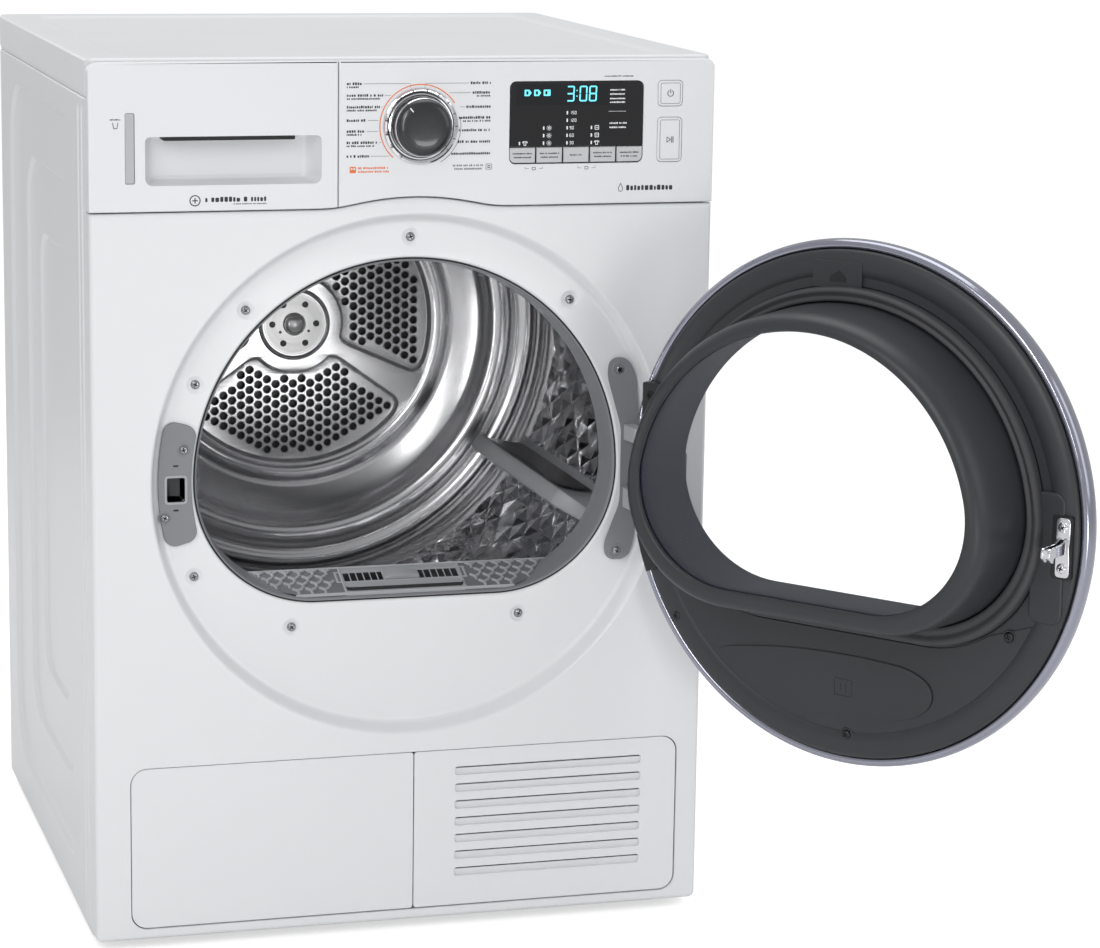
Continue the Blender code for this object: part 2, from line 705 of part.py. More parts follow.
def make_door_frame():
    outer = circle(RING_X, RING_Z, FRAME_RADIUS)
    frame = plate(
        "door_frame", [outer, mouth_outline(**PLUG_INNER)],
        DOOR_FACE_Y - 0.010, DOOR_FACE_Y, "Y", DARK_PLASTIC, DOOR
    )
    plug = plate(
        "door_plug", [mouth_outline(**PLUG_OUTER), mouth_outline(**PLUG_INNER)],
        DOOR_FACE_Y - 0.005, DOOR_FACE_Y + PLUG_DEPTH, "Y", None, DOOR
    )
    join(frame, plug)
    cut(frame, hinge_notch("frame_notch", -0.03, 0.03))


def make_door_rim():
    front = DOOR_FACE_Y - 0.039
    profile = [
        (DOOR_RADIUS - 0.003, -0.0010),
        (DOOR_RADIUS, -0.0060),
        (DOOR_RADIUS, front + 0.014),
        (DOOR_RADIUS - 0.004, front + 0.003),
        (DOOR_RADIUS - 0.012, front),
        (0.2160, front),
        (0.2160, front + 0.004),
        (0.2400, front + 0.005),
        (0.2420, front + 0.014),
        (0.2420, -0.0010),
    ]
    rim = turned(
        "door_rim", profile, (RING_X, 0, RING_Z), "Y", SILVER_RIM, DOOR, 64, loop=True
    )
    cut(rim, hinge_notch("rim_notch", front + 0.006, 0.03))


def make_door_glazing():
    front = DOOR_FACE_Y - 0.039
    dome = [(0, front + 0.003), (0.2150, front + 0.003), (0.2150, front), (0.16, front - 0.003),
            (0.08, front - 0.0045), (0, front - 0.005)]
    turned("door_outer_glass", dome, (RING_X, 0, RING_Z), "Y", CLEAR_GLASS, DOOR, 48)
    back = DOOR_FACE_Y + PLUG_DEPTH - 0.006
    plate("door_window", [mouth_outline(**WINDOW)], back - 0.004, back, "Y", CLEAR_GLASS, DOOR)


def make_door_seal():
    plate(
        "door_seal", [mouth_outline(**SEAL_OUTER), mouth_outline(**SEAL_INNER)],
        DOOR_FACE_Y + GAP, 0.0170, "Y", RUBBER, DOOR
    )


def make_latch_hook():
    """A screwed plate on the door's face, with a shank and a hook that drops behind the catch."""
    face = DOOR_FACE_Y + GAP
    hook = block(
        "latch_hook", (HOOK_X - 0.007, face, HOOK_Z - 0.027),
        (HOOK_X + 0.007, face + 0.003, HOOK_Z + 0.027), CHROME, DOOR
    )
    shank = block(
        "hook_shank", (HOOK_X - 0.0045, face + 0.001, HOOK_Z - 0.005),
        (HOOK_X + 0.0045, 0.043, HOOK_Z + 0.005), None, DOOR
    )
    barb = block(
        "hook_barb", (HOOK_X - 0.0045, 0.036, HOOK_Z - 0.009), (HOOK_X + 0.0045, 0.043, HOOK_Z + 0.005),
        None, DOOR
    )
    join(hook, shank, barb)


# --- Drum and drive --------------------------------------------------------------------------

def make_drum():
    centre = (DRUM_X, 0, DRUM_Z)
    outer = DRUM_RADIUS + DRUM_WALL
    profile = [
        (outer, DRUM_BACK),
        (outer, DRUM_FRONT + 0.018),
        (0.244, DRUM_FRONT),
        (0.242, DRUM_FRONT + 0.0015),
        (DRUM_RADIUS, DRUM_FRONT + 0.0195),
        (DRUM_RADIUS, DRUM_BACK),
    ]
    turned("drum_shell", profile, centre, "Y", STAINLESS, DRUM, 64, loop=True)

    wall = 0.5520
    back = [
        (0, 0.598), (0.0095, 0.598), (0.0095, wall + 0.003), (DRUM_RADIUS - GAP, wall + 0.003),
        (DRUM_RADIUS - GAP, wall - 0.002), (0.225, wall - 0.004), (0.170, wall - 0.014),
        (0.160, wall - 0.014), (0.155, wall), (0.050, wall), (0.044, wall - 0.006),
        (0.018, wall - 0.006), (0.014, wall - 0.014), (0, wall - 0.015),
    ]
    turned("drum_rear_wall", back, centre, "Y", STAINLESS, DRUM, 64)

    length = (0.105, 0.468)
    for number, angle in enumerate(LIFTER_ANGLES, start=1):
        section = [(-0.034, -0.269), (0.034, -0.269), (0.011, -0.213), (-0.011, -0.213)]
        spin = math.radians(angle + 90)
        outline = [
            (DRUM_X + u * math.cos(spin) - v * math.sin(spin),
             DRUM_Z + u * math.sin(spin) + v * math.cos(spin))
            for u, v in section
        ]
        plate(f"lifter_{number}", [outline], *length, "Y", LIGHT_GREY_PLASTIC, DRUM)


def make_rear_crossmember():
    beam = block(
        "rear_crossmember", (-0.282, 0.578, DRUM_Z - 0.035), (0.282, 0.602, DRUM_Z + 0.035),
        ZINC_STEEL, CABINET
    )
    cut(beam, rod("bearing_bore", (DRUM_X, 0.57, DRUM_Z), 0.010, 0.04, "Y", None, CABINET, 48))


def roller_centre(name):
    """A roller just clear of the drum's outside, at its place round the drum's lower front."""
    angle = math.radians(ROLLER_ANGLES[name])
    reach = DRUM_RADIUS + DRUM_WALL + ROLLER_RADIUS + GAP
    return DRUM_X + reach * math.cos(angle), DRUM_Z + reach * math.sin(angle)


def make_rollers():
    for name in ROLLER_ANGLES:
        x, z = roller_centre(name)
        ring(name, 0.0053, ROLLER_RADIUS, -0.008, 0.008, (x, ROLLER_Y, z), "Y", RUBBER, CABINET, 32)
    width = BELT_WIDTH / 2 + 0.001
    ring(
        "idler_pulley", 0.004, IDLER_RADIUS, -width, width,
        (IDLER_X, BELT_FRONT + BELT_WIDTH / 2, IDLER_Z), "Y", DARK_PLASTIC, CABINET, 32
    )


def make_belt():
    pulleys = [
        (DRUM_X, DRUM_Z, DRUM_RADIUS + DRUM_WALL),
        (MOTOR_X, MOTOR_Z, PULLEY_RADIUS),
        (IDLER_X, IDLER_Z, IDLER_RADIUS),
    ]
    loops = [belt_outline(pulleys, GAP + BELT_THICKNESS), belt_outline(pulleys, GAP)]
    plate("drive_belt", loops, BELT_FRONT, BELT_FRONT + BELT_WIDTH, "Y", RUBBER, CABINET)


def make_motor():
    centre = (MOTOR_X, 0, MOTOR_Z)
    ring("motor", 0.0055, 0.050, 0.290, 0.430, centre, "Y", BLACK_STEEL, CABINET, 40)
    foot = block(
        "motor_mount", (MOTOR_X - 0.045, 0.31, 0.0425), (MOTOR_X + 0.045, 0.41, 0.090), None, CABINET
    )
    join(bpy.data.objects["motor"], foot)

    rotor = pivot("rotor_axis", (MOTOR_X, 0.36, MOTOR_Z))
    shaft = [
        (0, 0.500), (0.005, 0.500), (0.005, BELT_FRONT + BELT_WIDTH + 0.002),
        (PULLEY_RADIUS, BELT_FRONT + BELT_WIDTH + 0.001), (PULLEY_RADIUS, BELT_FRONT - 0.001),
        (0, BELT_FRONT - 0.001),
    ]
    turned("motor_shaft", shaft, centre, "Y", ALUMINIUM, rotor, 32)
    impeller = [(0.058, 0.495), (0.060, 0.462), (0.056, 0.462), (0.054, 0.490), (0.012, 0.490),
                (0.012, 0.470), (0.0053, 0.470), (0.0053, 0.495)]
    turned("fan_impeller", impeller, centre, "Y", LIGHT_GREY_PLASTIC, rotor, 32, loop=True)
    housing = [(0.070, 0.512), (0.070, 0.455), (0.066, 0.455), (0.066, 0.508), (0.010, 0.508),
               (0.010, 0.512)]
    turned("fan_housing", housing, centre, "Y", GREY_PLASTIC, CABINET, 32, loop=True)


def make_heat_pump():
    """The finned exchanger behind the lid, and the compressor behind it."""
    left, right, bottom, top = -0.256, -0.004, 0.0430, 0.186
    fin_count, fin, floor = 14, 0.0015, 0.006
    pitch = (right - left - fin) / (fin_count - 1)
    outline = [(right, bottom), (left, bottom)]
    for index in range(fin_count):
        start = left + index * pitch
        outline += [(start, top), (start + fin, top)]
        if index < fin_count - 1:
            outline += [(start + fin, bottom + floor), (start + pitch, bottom + floor)]
    plate("heat_exchanger", [outline], 0.060, 0.330, "Y", ALUMINIUM, CABINET)

    shell = [(0, 0.205), (0.030, 0.200), (0.052, 0.185), (0.060, 0.165), (0.060, 0.075),
             (0.052, 0.058), (0.052, 0.0430), (0, 0.0430)]
    turned("compressor", shell, (-0.150, 0.470, 0), "Z", BLACK_STEEL, CABINET, 32)


# --- Build -----------------------------------------------------------------------------------

CABINET = bpy.data.objects.new("cabinet", None)
PARTS.objects.link(CABINET)
CABINET.location = ORIGIN
DOOR = pivot("door_pivot", (HINGE_X, HINGE_Y, 0), DOOR_ANGLE)
DRUM = pivot("drum_axis", (DRUM_X, 0, DRUM_Z))

make_base()
make_feet()
make_front_panel()
make_side_panels()
make_rear_panel()
make_top_panel()
make_lower_front()
make_exchanger_lid()
make_control_panel()
make_controls()
make_water_drawer()
make_front_bulkhead()
make_throat()
make_lint_grille()
make_lint_filter()
make_door_lock()
make_hinge_bracket()
make_hinge_leaf()
make_door_frame()
make_door_rim()
make_door_glazing()
make_door_seal()
make_latch_hook()
make_drum()
make_rear_crossmember()
make_rollers()
make_belt()
make_motor()
make_heat_pump()
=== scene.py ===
"""Clothes dryer, its round door standing open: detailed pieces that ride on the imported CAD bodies.

Metres, +Z up. Pieces are drawn in cabinet coordinates: x = 0 on the cabinet's centre line,
y = 0 on its front face with +Y towards the back, z = 0 on the floor, and the door shut. CABINET
moves them into the frame, and DOOR_OPEN also swings the door's pieces to where they stand.
"""

import json
import math

import bmesh
import bpy
import numpy as np
from mathutils import Matrix, Vector
from mathutils.geometry import tessellate_polygon

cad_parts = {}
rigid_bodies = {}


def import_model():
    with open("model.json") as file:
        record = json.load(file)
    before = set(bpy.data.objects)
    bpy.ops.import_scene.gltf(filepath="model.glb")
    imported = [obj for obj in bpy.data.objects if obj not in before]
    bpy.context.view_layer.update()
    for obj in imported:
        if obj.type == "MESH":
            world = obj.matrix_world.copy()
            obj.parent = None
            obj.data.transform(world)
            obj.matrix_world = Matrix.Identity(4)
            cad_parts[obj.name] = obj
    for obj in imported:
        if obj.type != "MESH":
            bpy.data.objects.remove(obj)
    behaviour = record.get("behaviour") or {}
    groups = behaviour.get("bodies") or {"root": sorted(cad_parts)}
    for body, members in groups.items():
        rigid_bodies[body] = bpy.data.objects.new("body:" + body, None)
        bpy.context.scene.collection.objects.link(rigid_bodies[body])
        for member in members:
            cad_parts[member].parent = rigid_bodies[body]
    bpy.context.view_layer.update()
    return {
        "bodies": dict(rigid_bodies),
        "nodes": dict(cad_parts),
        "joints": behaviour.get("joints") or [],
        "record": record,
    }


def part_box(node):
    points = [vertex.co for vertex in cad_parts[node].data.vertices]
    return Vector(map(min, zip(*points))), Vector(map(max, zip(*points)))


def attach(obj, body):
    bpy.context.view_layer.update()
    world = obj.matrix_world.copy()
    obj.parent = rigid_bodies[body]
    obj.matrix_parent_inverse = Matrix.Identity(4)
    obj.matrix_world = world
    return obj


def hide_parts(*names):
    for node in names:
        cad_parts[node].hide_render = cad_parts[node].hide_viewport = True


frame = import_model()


# --- Where things are ------------------------------------------------------------------------

def centre_of(node):
    low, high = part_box(node)
    return (low + high) / 2


ORIGIN = Vector((centre_of("top_panel").x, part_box("front_panel")[0].y, 0.0))
CABINET = Matrix.Translation(ORIGIN)
HINGE_JOINT = next(joint for joint in frame["joints"] if joint["name"] == "door_hinge")
HINGE = Vector(HINGE_JOINT["pos_m"])
DOOR_ANGLE = math.radians(-HINGE_JOINT["range_deg"][0])
DOOR_OPEN = (
    Matrix.Translation(HINGE) @ Matrix.Rotation(DOOR_ANGLE, 4, "Z")
    @ Matrix.Translation(-HINGE) @ CABINET
)


def local_box(node):
    """A cabinet node's box in cabinet coordinates."""
    low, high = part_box(node)
    return low - ORIGIN, high - ORIGIN


def local_centre(node):
    return centre_of(node) - ORIGIN


HALF = (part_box("top_panel")[1].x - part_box("top_panel")[0].x) / 2
FLOOR_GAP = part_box("front_panel")[0].z
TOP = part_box("top_panel")[1].z
DEPTH = local_box("top_panel")[1].y
PANEL_DEPTH = local_box("front_panel")[1].y
RING = (local_centre("drum_shell").x, HINGE.z)
DRUM = (RING[0], centre_of("drum_shell").z)

SEAM_Z = 0.71
SEAM_GAP = 0.0012
SEAM_BUMP = 0.268
SEAM_BLEND = 0.002
DRAWER_EDGE = -0.067
RING_SHOULDER = 0.2535
RING_FLOOR = 0.019
MOUTH = (0.208, 0.122, 0.088)
THROAT = (0.2072, 0.1212, 0.088)
THROAT_INNER = (0.2025, 0.1165, 0.086)
PLUG_TIP = (0.188, 0.096, 0.08)
PLUG_HOLE = (0.172, 0.076, 0.075)
SEAL_OUTER = (0.2045, 0.1165, 0.086)
SEAL_INNER = (0.1905, 0.0985, 0.08)
PLUG_STRETCH = 1.04
AROUND = 288


# --- Outlines: arrays of (x, z) points, anticlockwise as seen from the front ------------------

def circle(centre, radius, steps=AROUND):
    angles = np.linspace(0, 2 * math.pi, steps, endpoint=False)
    return np.column_stack((centre[0] + radius * np.cos(angles), centre[1] + radius * np.sin(angles)))


def arc(centre, radius, start, end, steps=12):
    angles = np.radians(np.linspace(start, end, steps + 1))
    return np.column_stack((centre[0] + radius * np.cos(angles), centre[1] + radius * np.sin(angles)))


def rounded(left, bottom, right, top, radius, steps=8):
    """A rectangle with round corners. radius may be four radii, from the top right round."""
    radii = radius if hasattr(radius, "__len__") else (radius,) * 4
    corners = ((right, top, -1, -1), (left, top, 1, -1), (left, bottom, 1, 1), (right, bottom, -1, 1))
    parts = []
    for number, ((x, z, in_x, in_z), reach) in enumerate(zip(corners, radii)):
        reach = max(reach, 1e-5)
        centre = (x + in_x * reach, z + in_z * reach)
        parts.append(arc(centre, reach, 90 * number, 90 * number + 90, steps))
    return np.concatenate(parts)


def mouth(spec, grow=0.0, steps=AROUND):
    """The opening's outline, one point per polar angle: a circle over a flat, round-cornered bottom."""
    radius, flat, half_flat = spec[0] + grow, spec[1] + grow, spec[2]
    corner = (radius ** 2 - half_flat ** 2 - flat ** 2) / (2 * (radius - flat))
    join = math.atan2(corner - flat, half_flat)
    points = []
    for angle in np.linspace(0, 2 * math.pi, steps, endpoint=False):
        dx, dz = math.cos(angle), math.sin(angle)
        reach = radius
        if math.sin(angle) < math.sin(join):
            if dz < 0 and abs(dx) * flat <= half_flat * -dz:
                reach = flat / -dz
            else:
                side = math.copysign(half_flat, dx)
                along = dx * side + dz * (corner - flat)
                off = side ** 2 + (corner - flat) ** 2 - corner ** 2
                reach = along + math.sqrt(max(along ** 2 - off, 0.0))
        points.append((RING[0] + reach * dx, RING[1] + reach * dz))
    return np.array(points)


def plug(spec, grow=0.0, steps=AROUND):
    """The opening's outline, reaching a little further towards the hinge, as the door's plug does."""
    outline = mouth(spec, grow, steps)
    hinge_side = outline[:, 0] > RING[0]
    outline[hinge_side, 0] = RING[0] + (outline[hinge_side, 0] - RING[0]) * PLUG_STRETCH
    return outline


def mix(first, second, share):
    return first * (1 - share) + second * share


def swell(share):
    """From 0 to 1 with a level start and a level end."""
    return 0.5 - 0.5 * math.cos(math.pi * share)


def refined(outline, length):
    """The same outline with points added so that none are further apart than length."""
    points = []
    for start, end in zip(outline, np.roll(outline, -1, 0)):
        pieces = max(int(np.linalg.norm(end - start) / length), 1)
        points += [start + (end - start) * step / pieces for step in range(pieces)]
    return np.array(points)


def sector(centre, inner, outer, start, end, corner, length=0.004):
    """A band of a circle from one angle to another, with round corners."""
    middle = (inner + outer) / 2
    flat = refined(rounded(0, inner, math.radians(end - start) * middle, outer, corner, 5), length)
    angles = math.radians(end) - flat[:, 0] / middle
    radii = flat[:, 1]
    return np.column_stack((centre[0] + radii * np.cos(angles), centre[1] + radii * np.sin(angles)))


def inset(outline, distance):
    """The outline moved inwards by distance, or outwards when that is negative."""
    back = outline - np.roll(outline, 1, 0)
    ahead = np.roll(outline, -1, 0) - outline
    back = back / np.maximum(np.linalg.norm(back, axis=1, keepdims=True), 1e-9)
    ahead = ahead / np.maximum(np.linalg.norm(ahead, axis=1, keepdims=True), 1e-9)
    first = np.column_stack((-back[:, 1], back[:, 0]))
    second = np.column_stack((-ahead[:, 1], ahead[:, 0]))
    share = np.maximum(1 + np.sum(first * second, axis=1, keepdims=True), 0.3)
    return outline + (first + second) / share * distance


def eased(points, reach, steps=6):
    """A closed polygon with each corner turned into a curve that starts reach away from it."""
    points = np.array(points, float)
    parts = []
    for before, corner, after in zip(np.roll(points, 1, 0), points, np.roll(points, -1, 0)):
        start = corner + (before - corner) * min(reach / np.linalg.norm(before - corner), 0.49)
        end = corner + (after - corner) * min(reach / np.linalg.norm(after - corner), 0.49)
        for share in np.linspace(0, 1, steps + 1):
            parts.append((1 - share) ** 2 * start + 2 * share * (1 - share) * corner + share ** 2 * end)
    return np.array(parts)


def slope(path, width, start, end, steps=8):
    """Loops from path at y = start to y = end, width further in, level at both ends."""
    return [at(inset(path, width * share), start + (end - start) * swell(share))
            for share in np.linspace(0, 1, steps + 1)]


def tick(centre, degrees, near, far, half):
    """A short bar that points at centre: from near to far of it, half as wide to each side."""
    turn = math.radians(degrees)
    along = np.array((math.cos(turn), math.sin(turn)))
    side = np.array((-math.sin(turn), math.cos(turn))) * half
    corners = ((near, -1), (far, -1), (far, 1), (near, 1))
    return np.array([along * reach + side * sign for reach, sign in corners]) + centre


def around(centre, radius, angles):
    """A place at each of the angles, in degrees, on a circle."""
    turns = [math.radians(angle) for angle in angles]
    return [(centre[0] + radius * math.cos(turn), centre[1] + radius * math.sin(turn)) for turn in turns]


def at(outline, depth):
    """A flat outline set at y = depth."""
    return np.column_stack((outline[:, 0], np.full(len(outline), depth), outline[:, 1]))


def seam_height(x):
    """The height of the seam under the fascia, which arches over the ring."""
    reach = SEAM_BUMP ** 2 - (x - RING[0]) ** 2
    arch = RING[1] + math.sqrt(max(reach, 0.0)) - SEAM_Z
    return SEAM_Z + SEAM_BLEND * math.log(1 + math.exp(arch / SEAM_BLEND))


# --- Mesh building ----------------------------------------------------------------------------

MERGE_WITHIN, SLIVER = 0.000004, 0.000002
SIDEWAYS = Matrix(((0, 1, 0, 0), (1, 0, 0, 0), (0, 0, 1, 0), (0, 0, 0, 1)))
FROM_ABOVE = Matrix(((1, 0, 0, 0), (0, 0, 1, 0), (0, -1, 0, 0), (0, 0, 0, 1)))


class Shape:
    """Points and faces gathered in cabinet coordinates, then made into one object."""

    def __init__(self, turn=None):
        self.points, self.faces, self.marks = [], [], []
        self.turn = turn or Matrix.Identity(4)

    def add(self, points, faces, mark=0):
        start = len(self.points)
        turn = np.array(self.turn)
        moved = np.asarray(points, float) @ turn[:3, :3].T + turn[:3, 3]
        self.points.extend(map(tuple, moved))
        self.faces.extend(tuple(start + index for index in face) for face in faces)
        self.marks.extend([mark] * len(faces))

    def loops(self, loops, closed=True, mark=0):
        """Quads from each loop of points to the next."""
        count = len(loops[0])
        last = count if closed else count - 1
        faces = []
        for row in range(len(loops) - 1):
            for column in range(last):
                after = (column + 1) % count
                faces.append((row * count + column, row * count + after,
                              (row + 1) * count + after, (row + 1) * count + column))
        self.add(np.concatenate(loops), faces, mark)

    def fill(self, loops, mark=0):
        """A flat face with its first loop as the edge and the rest as holes."""
        triangles = tessellate_polygon([[Vector(point) for point in loop] for loop in loops])
        self.add(np.concatenate(loops), triangles, mark)

    def cup(self, loops, mark=0):
        """Loops with the last one filled in."""
        self.loops(loops, mark=mark)
        self.fill([loops[-1]], mark)

    def slab(self, outline, front, back, edge=0.0008, holes=(), steps=4, mark=0, side_mark=None):
        """A plate from y = front to y = back, its front edges rounded by edge."""
        side_mark = mark if side_mark is None else side_mark
        inward = math.copysign(edge, back - front)
        tops, ends = [], []
        for number, path in enumerate((outline, *holes)):
            sign = 1 if number == 0 else -1
            loops = []
            for step in range(steps + 1):
                angle = math.pi / 2 * step / steps
                moved = inset(path, sign * edge * (1 - math.sin(angle)))
                loops.append(at(moved, front + inward * (1 - math.cos(angle))))
            loops.append(at(path, back))
            self.loops(loops, mark=side_mark)
            tops.append(loops[0])
            ends.append(loops[-1])
        self.fill(tops, mark)
        self.fill(ends, side_mark)

    def lathe(self, profile, centre, steps=96, closed=False, mark=0):
        """A profile of (radius, y) turned about the line through centre along Y."""
        loops = [at(circle(centre, max(radius, 1e-6), steps), depth) for radius, depth in profile]
        if closed:
            loops.append(loops[0])
        self.loops(loops, mark=mark)

    def screw(self, x, z, seat, radius=0.0042, angle=20.0, mark=0, dark=1, way=-1):
        """A pan-head screw with a cross recess, its head standing out along y in direction way."""
        cross = []
        arm, wide = radius * 0.52, radius * 0.13
        for quarter in range(4):
            turn = math.radians(angle + 90 * quarter)
            for u, v in ((arm, -wide), (arm, wide), (wide, wide)):
                cross.append((x + u * math.cos(turn) - v * math.sin(turn),
                              z + u * math.sin(turn) + v * math.cos(turn)))
        cross = np.array(cross)
        profile = ((1.0, 0.0), (1.0, 0.12), (0.93, 0.29), (0.78, 0.4), (0.66, 0.45))
        rings = [at(circle((x, z), radius * wide_share, 24), seat + way * radius * tall)
                 for wide_share, tall in profile]
        crown, pit = seat + way * radius * 0.45, seat + way * radius * 0.1
        self.loops(rings, mark=mark)
        self.fill([rings[-1], at(cross, crown)], mark)
        # The cross recess takes mark dark; where that is SHADOW the recess is painted shade.
        self.loops([at(cross, crown), at(cross, pit)], mark=dark)
        self.fill([at(cross, pit)], dark)

    def make(self, name, looks, body, slot=None, replaces=(), place=None, smooth=35.0):
        mesh = bpy.data.meshes.new(name)
        mesh.from_pydata(self.points, [], self.faces)
        mesh.transform(CABINET if place is None else place)
        mesh.polygons.foreach_set("material_index", self.marks)
        work = bmesh.new()
        work.from_mesh(mesh)
        bmesh.ops.remove_doubles(work, verts=work.verts, dist=MERGE_WITHIN)
        bmesh.ops.dissolve_degenerate(work, edges=work.edges, dist=SLIVER)
        bmesh.ops.recalc_face_normals(work, faces=work.faces)
        work.to_mesh(mesh)
        work.free()
        if smooth:
            mesh.shade_smooth()
            mesh.set_sharp_from_angle(angle=math.radians(smooth))
        for look in looks if isinstance(looks, (list, tuple)) else [looks]:
            mesh.materials.append(look)
        piece = bpy.data.objects.new(name, mesh)
        bpy.context.scene.collection.objects.link(piece)
        if smooth:
            even = piece.modifiers.new("even_normals", "WEIGHTED_NORMAL")
            even.keep_sharp = True
            even.weight = 80
        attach(piece, body)
        if replaces:
            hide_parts(*replaces)
        return piece


# --- Materials --------------------------------------------------------------------------------

# A mix node's sockets for colours come after its sockets for numbers and vectors.
MIX_FIRST, MIX_SECOND, MIX_COLOUR = 6, 7, 2
NOISE_LOW, NOISE_HIGH = 0.3, 0.7
COAT_ROUGHNESS = 0.08
GRAIN_DEPTH = 0.0004


def node_of(tree, kind, **values):
    made = tree.nodes.new(kind)
    for key, value in values.items():
        if hasattr(made, key):
            setattr(made, key, value)
        else:
            made.inputs[key.replace("_", " ")].default_value = value
    return made


def noise(tree, vector, scale, detail=3.0, stretch=(1, 1, 1)):
    shift = node_of(tree, "ShaderNodeMapping")
    shift.inputs["Scale"].default_value = stretch
    tree.links.new(vector, shift.inputs["Vector"])
    made = node_of(tree, "ShaderNodeTexNoise", Scale=scale, Detail=detail)
    tree.links.new(shift.outputs["Vector"], made.inputs["Vector"])
    return made.outputs["Fac"]


def span(tree, value, low, high):
    """A noise's usual range stretched to run from low to high."""
    made = node_of(tree, "ShaderNodeMapRange")
    made.inputs["From Min"].default_value = NOISE_LOW
    made.inputs["From Max"].default_value = NOISE_HIGH
    made.inputs["To Min"].default_value = low
    made.inputs["To Max"].default_value = high
    tree.links.new(value, made.inputs["Value"])
    return made.outputs["Result"]


def around_axis(tree, vector, centre):
    """Coordinates that don't change round the drum's axis: (radius, y, 0)."""
    parts = node_of(tree, "ShaderNodeSeparateXYZ")
    tree.links.new(vector, parts.inputs[0])
    squares = []
    for name, middle in (("X", centre[0]), ("Z", centre[1])):
        off = node_of(tree, "ShaderNodeMath", operation="SUBTRACT")
        off.inputs[1].default_value = middle
        tree.links.new(parts.outputs[name], off.inputs[0])
        square = node_of(tree, "ShaderNodeMath", operation="MULTIPLY")
        tree.links.new(off.outputs[0], square.inputs[0])
        tree.links.new(off.outputs[0], square.inputs[1])
        squares.append(square)
    total = node_of(tree, "ShaderNodeMath", operation="ADD")
    tree.links.new(squares[0].outputs[0], total.inputs[0])
    tree.links.new(squares[1].outputs[0], total.inputs[1])
    root = node_of(tree, "ShaderNodeMath", operation="SQRT")
    tree.links.new(total.outputs[0], root.inputs[0])
    joined = node_of(tree, "ShaderNodeCombineXYZ")
    tree.links.new(root.outputs[0], joined.inputs["X"])
    tree.links.new(parts.outputs["Y"], joined.inputs["Y"])
    return joined.outputs[0]


def material(name, colour, roughness, metallic=0.0, vary=0.04, rough_vary=0.05, grain=900.0,
             bump=0.04, blotch=7.0, stretch=(1, 1, 1), coat=0.0, turned=False, alpha=1.0, glow=0.0,
             specular=0.5):
    """A Principled material whose colour and roughness drift a little, with a fine grain in its bump."""
    made = bpy.data.materials.new(name)
    made.use_nodes = True
    tree = made.node_tree
    shader = tree.nodes["Principled BSDF"]
    shader.inputs["Metallic"].default_value = metallic
    shader.inputs["Coat Weight"].default_value = coat
    shader.inputs["Coat Roughness"].default_value = COAT_ROUGHNESS
    shader.inputs["Alpha"].default_value = alpha
    shader.inputs["Specular IOR Level"].default_value = specular
    place = node_of(tree, "ShaderNodeTexCoord").outputs["Object"]
    if turned:
        place = around_axis(tree, place, (DRUM[0] + ORIGIN.x, DRUM[1]))
    drift = noise(tree, place, blotch, 4.0, stretch)
    blend = node_of(tree, "ShaderNodeMix", data_type="RGBA")
    blend.inputs[MIX_FIRST].default_value = (*[channel * (1 - vary) for channel in colour], 1)
    blend.inputs[MIX_SECOND].default_value = (*[min(channel * (1 + vary), 1.0) for channel in colour], 1)
    tree.links.new(span(tree, drift, 0.0, 1.0), blend.inputs[0])
    tree.links.new(blend.outputs[MIX_COLOUR], shader.inputs["Base Color"])
    fine = noise(tree, place, grain, 2.0, stretch)
    tree.links.new(
        span(tree, fine, max(roughness - rough_vary, 0.01), roughness + rough_vary),
        shader.inputs["Roughness"],
    )
    if bump:
        relief = node_of(tree, "ShaderNodeBump")
        relief.inputs["Strength"].default_value = bump
        relief.inputs["Distance"].default_value = GRAIN_DEPTH
        tree.links.new(fine, relief.inputs["Height"])
        tree.links.new(relief.outputs["Normal"], shader.inputs["Normal"])
    if glow:
        shader.inputs["Emission Color"].default_value = (*colour, 1)
        shader.inputs["Emission Strength"].default_value = glow
    return made


ENAMEL = material("white_enamel", (0.79, 0.8, 0.812), 0.3, vary=0.005, rough_vary=0.0, bump=0.0, coat=0.15)
MOULDED = material(
    "white_moulded", (0.79, 0.8, 0.815), 0.34, vary=0.006, rough_vary=0.02, grain=1500, bump=0.01, coat=0.1
)
WORKTOP = material("worktop_white", (0.78, 0.79, 0.8), 0.36, vary=0.015, grain=700, bump=0.1)
ZINC = material(
    "zinc_sheet", (0.56, 0.57, 0.58), 0.42, 1.0, vary=0.12, rough_vary=0.1, grain=160, blotch=30
)
SPUN = material(
    "spun_stainless", (0.6, 0.6, 0.61), 0.23, 1.0, vary=0.02, rough_vary=0.01, grain=1400, bump=0.0,
    blotch=30, turned=True
)
FACETED = material("faceted_stainless", (0.8, 0.8, 0.82), 0.09, 1.0, vary=0.05, grain=500, bump=0.01)
HUB_STEEL = material("hub_steel", (0.5, 0.5, 0.5), 0.32, 1.0, vary=0.04, grain=1200, turned=True)
CHROME = material("polished_chrome", (0.78, 0.78, 0.8), 0.09, 1.0, vary=0.02, rough_vary=0.03, grain=700)
SCREW_STEEL = material("screw_steel", (0.3, 0.3, 0.31), 0.28, 1.0, vary=0.1, grain=1800)
DARK = material("charcoal_plastic", (0.03, 0.032, 0.036), 0.42, vary=0.06, grain=2200, bump=0.12)
BLACK = material("black_plastic", (0.012, 0.012, 0.013), 0.3, vary=0.05, grain=1800, bump=0.08)
# Near-black for slots, holes, wells and screw recesses: painted shade.
SHADOW = material("recess_painted_shadow", (0.006, 0.006, 0.007), 0.6, vary=0.05)
GREY = material("grey_plastic", (0.225, 0.23, 0.245), 0.42, vary=0.03, grain=2400, bump=0.1)
PALE = material("pale_grey_plastic", (0.38, 0.39, 0.405), 0.4, vary=0.03, grain=2200, bump=0.1)
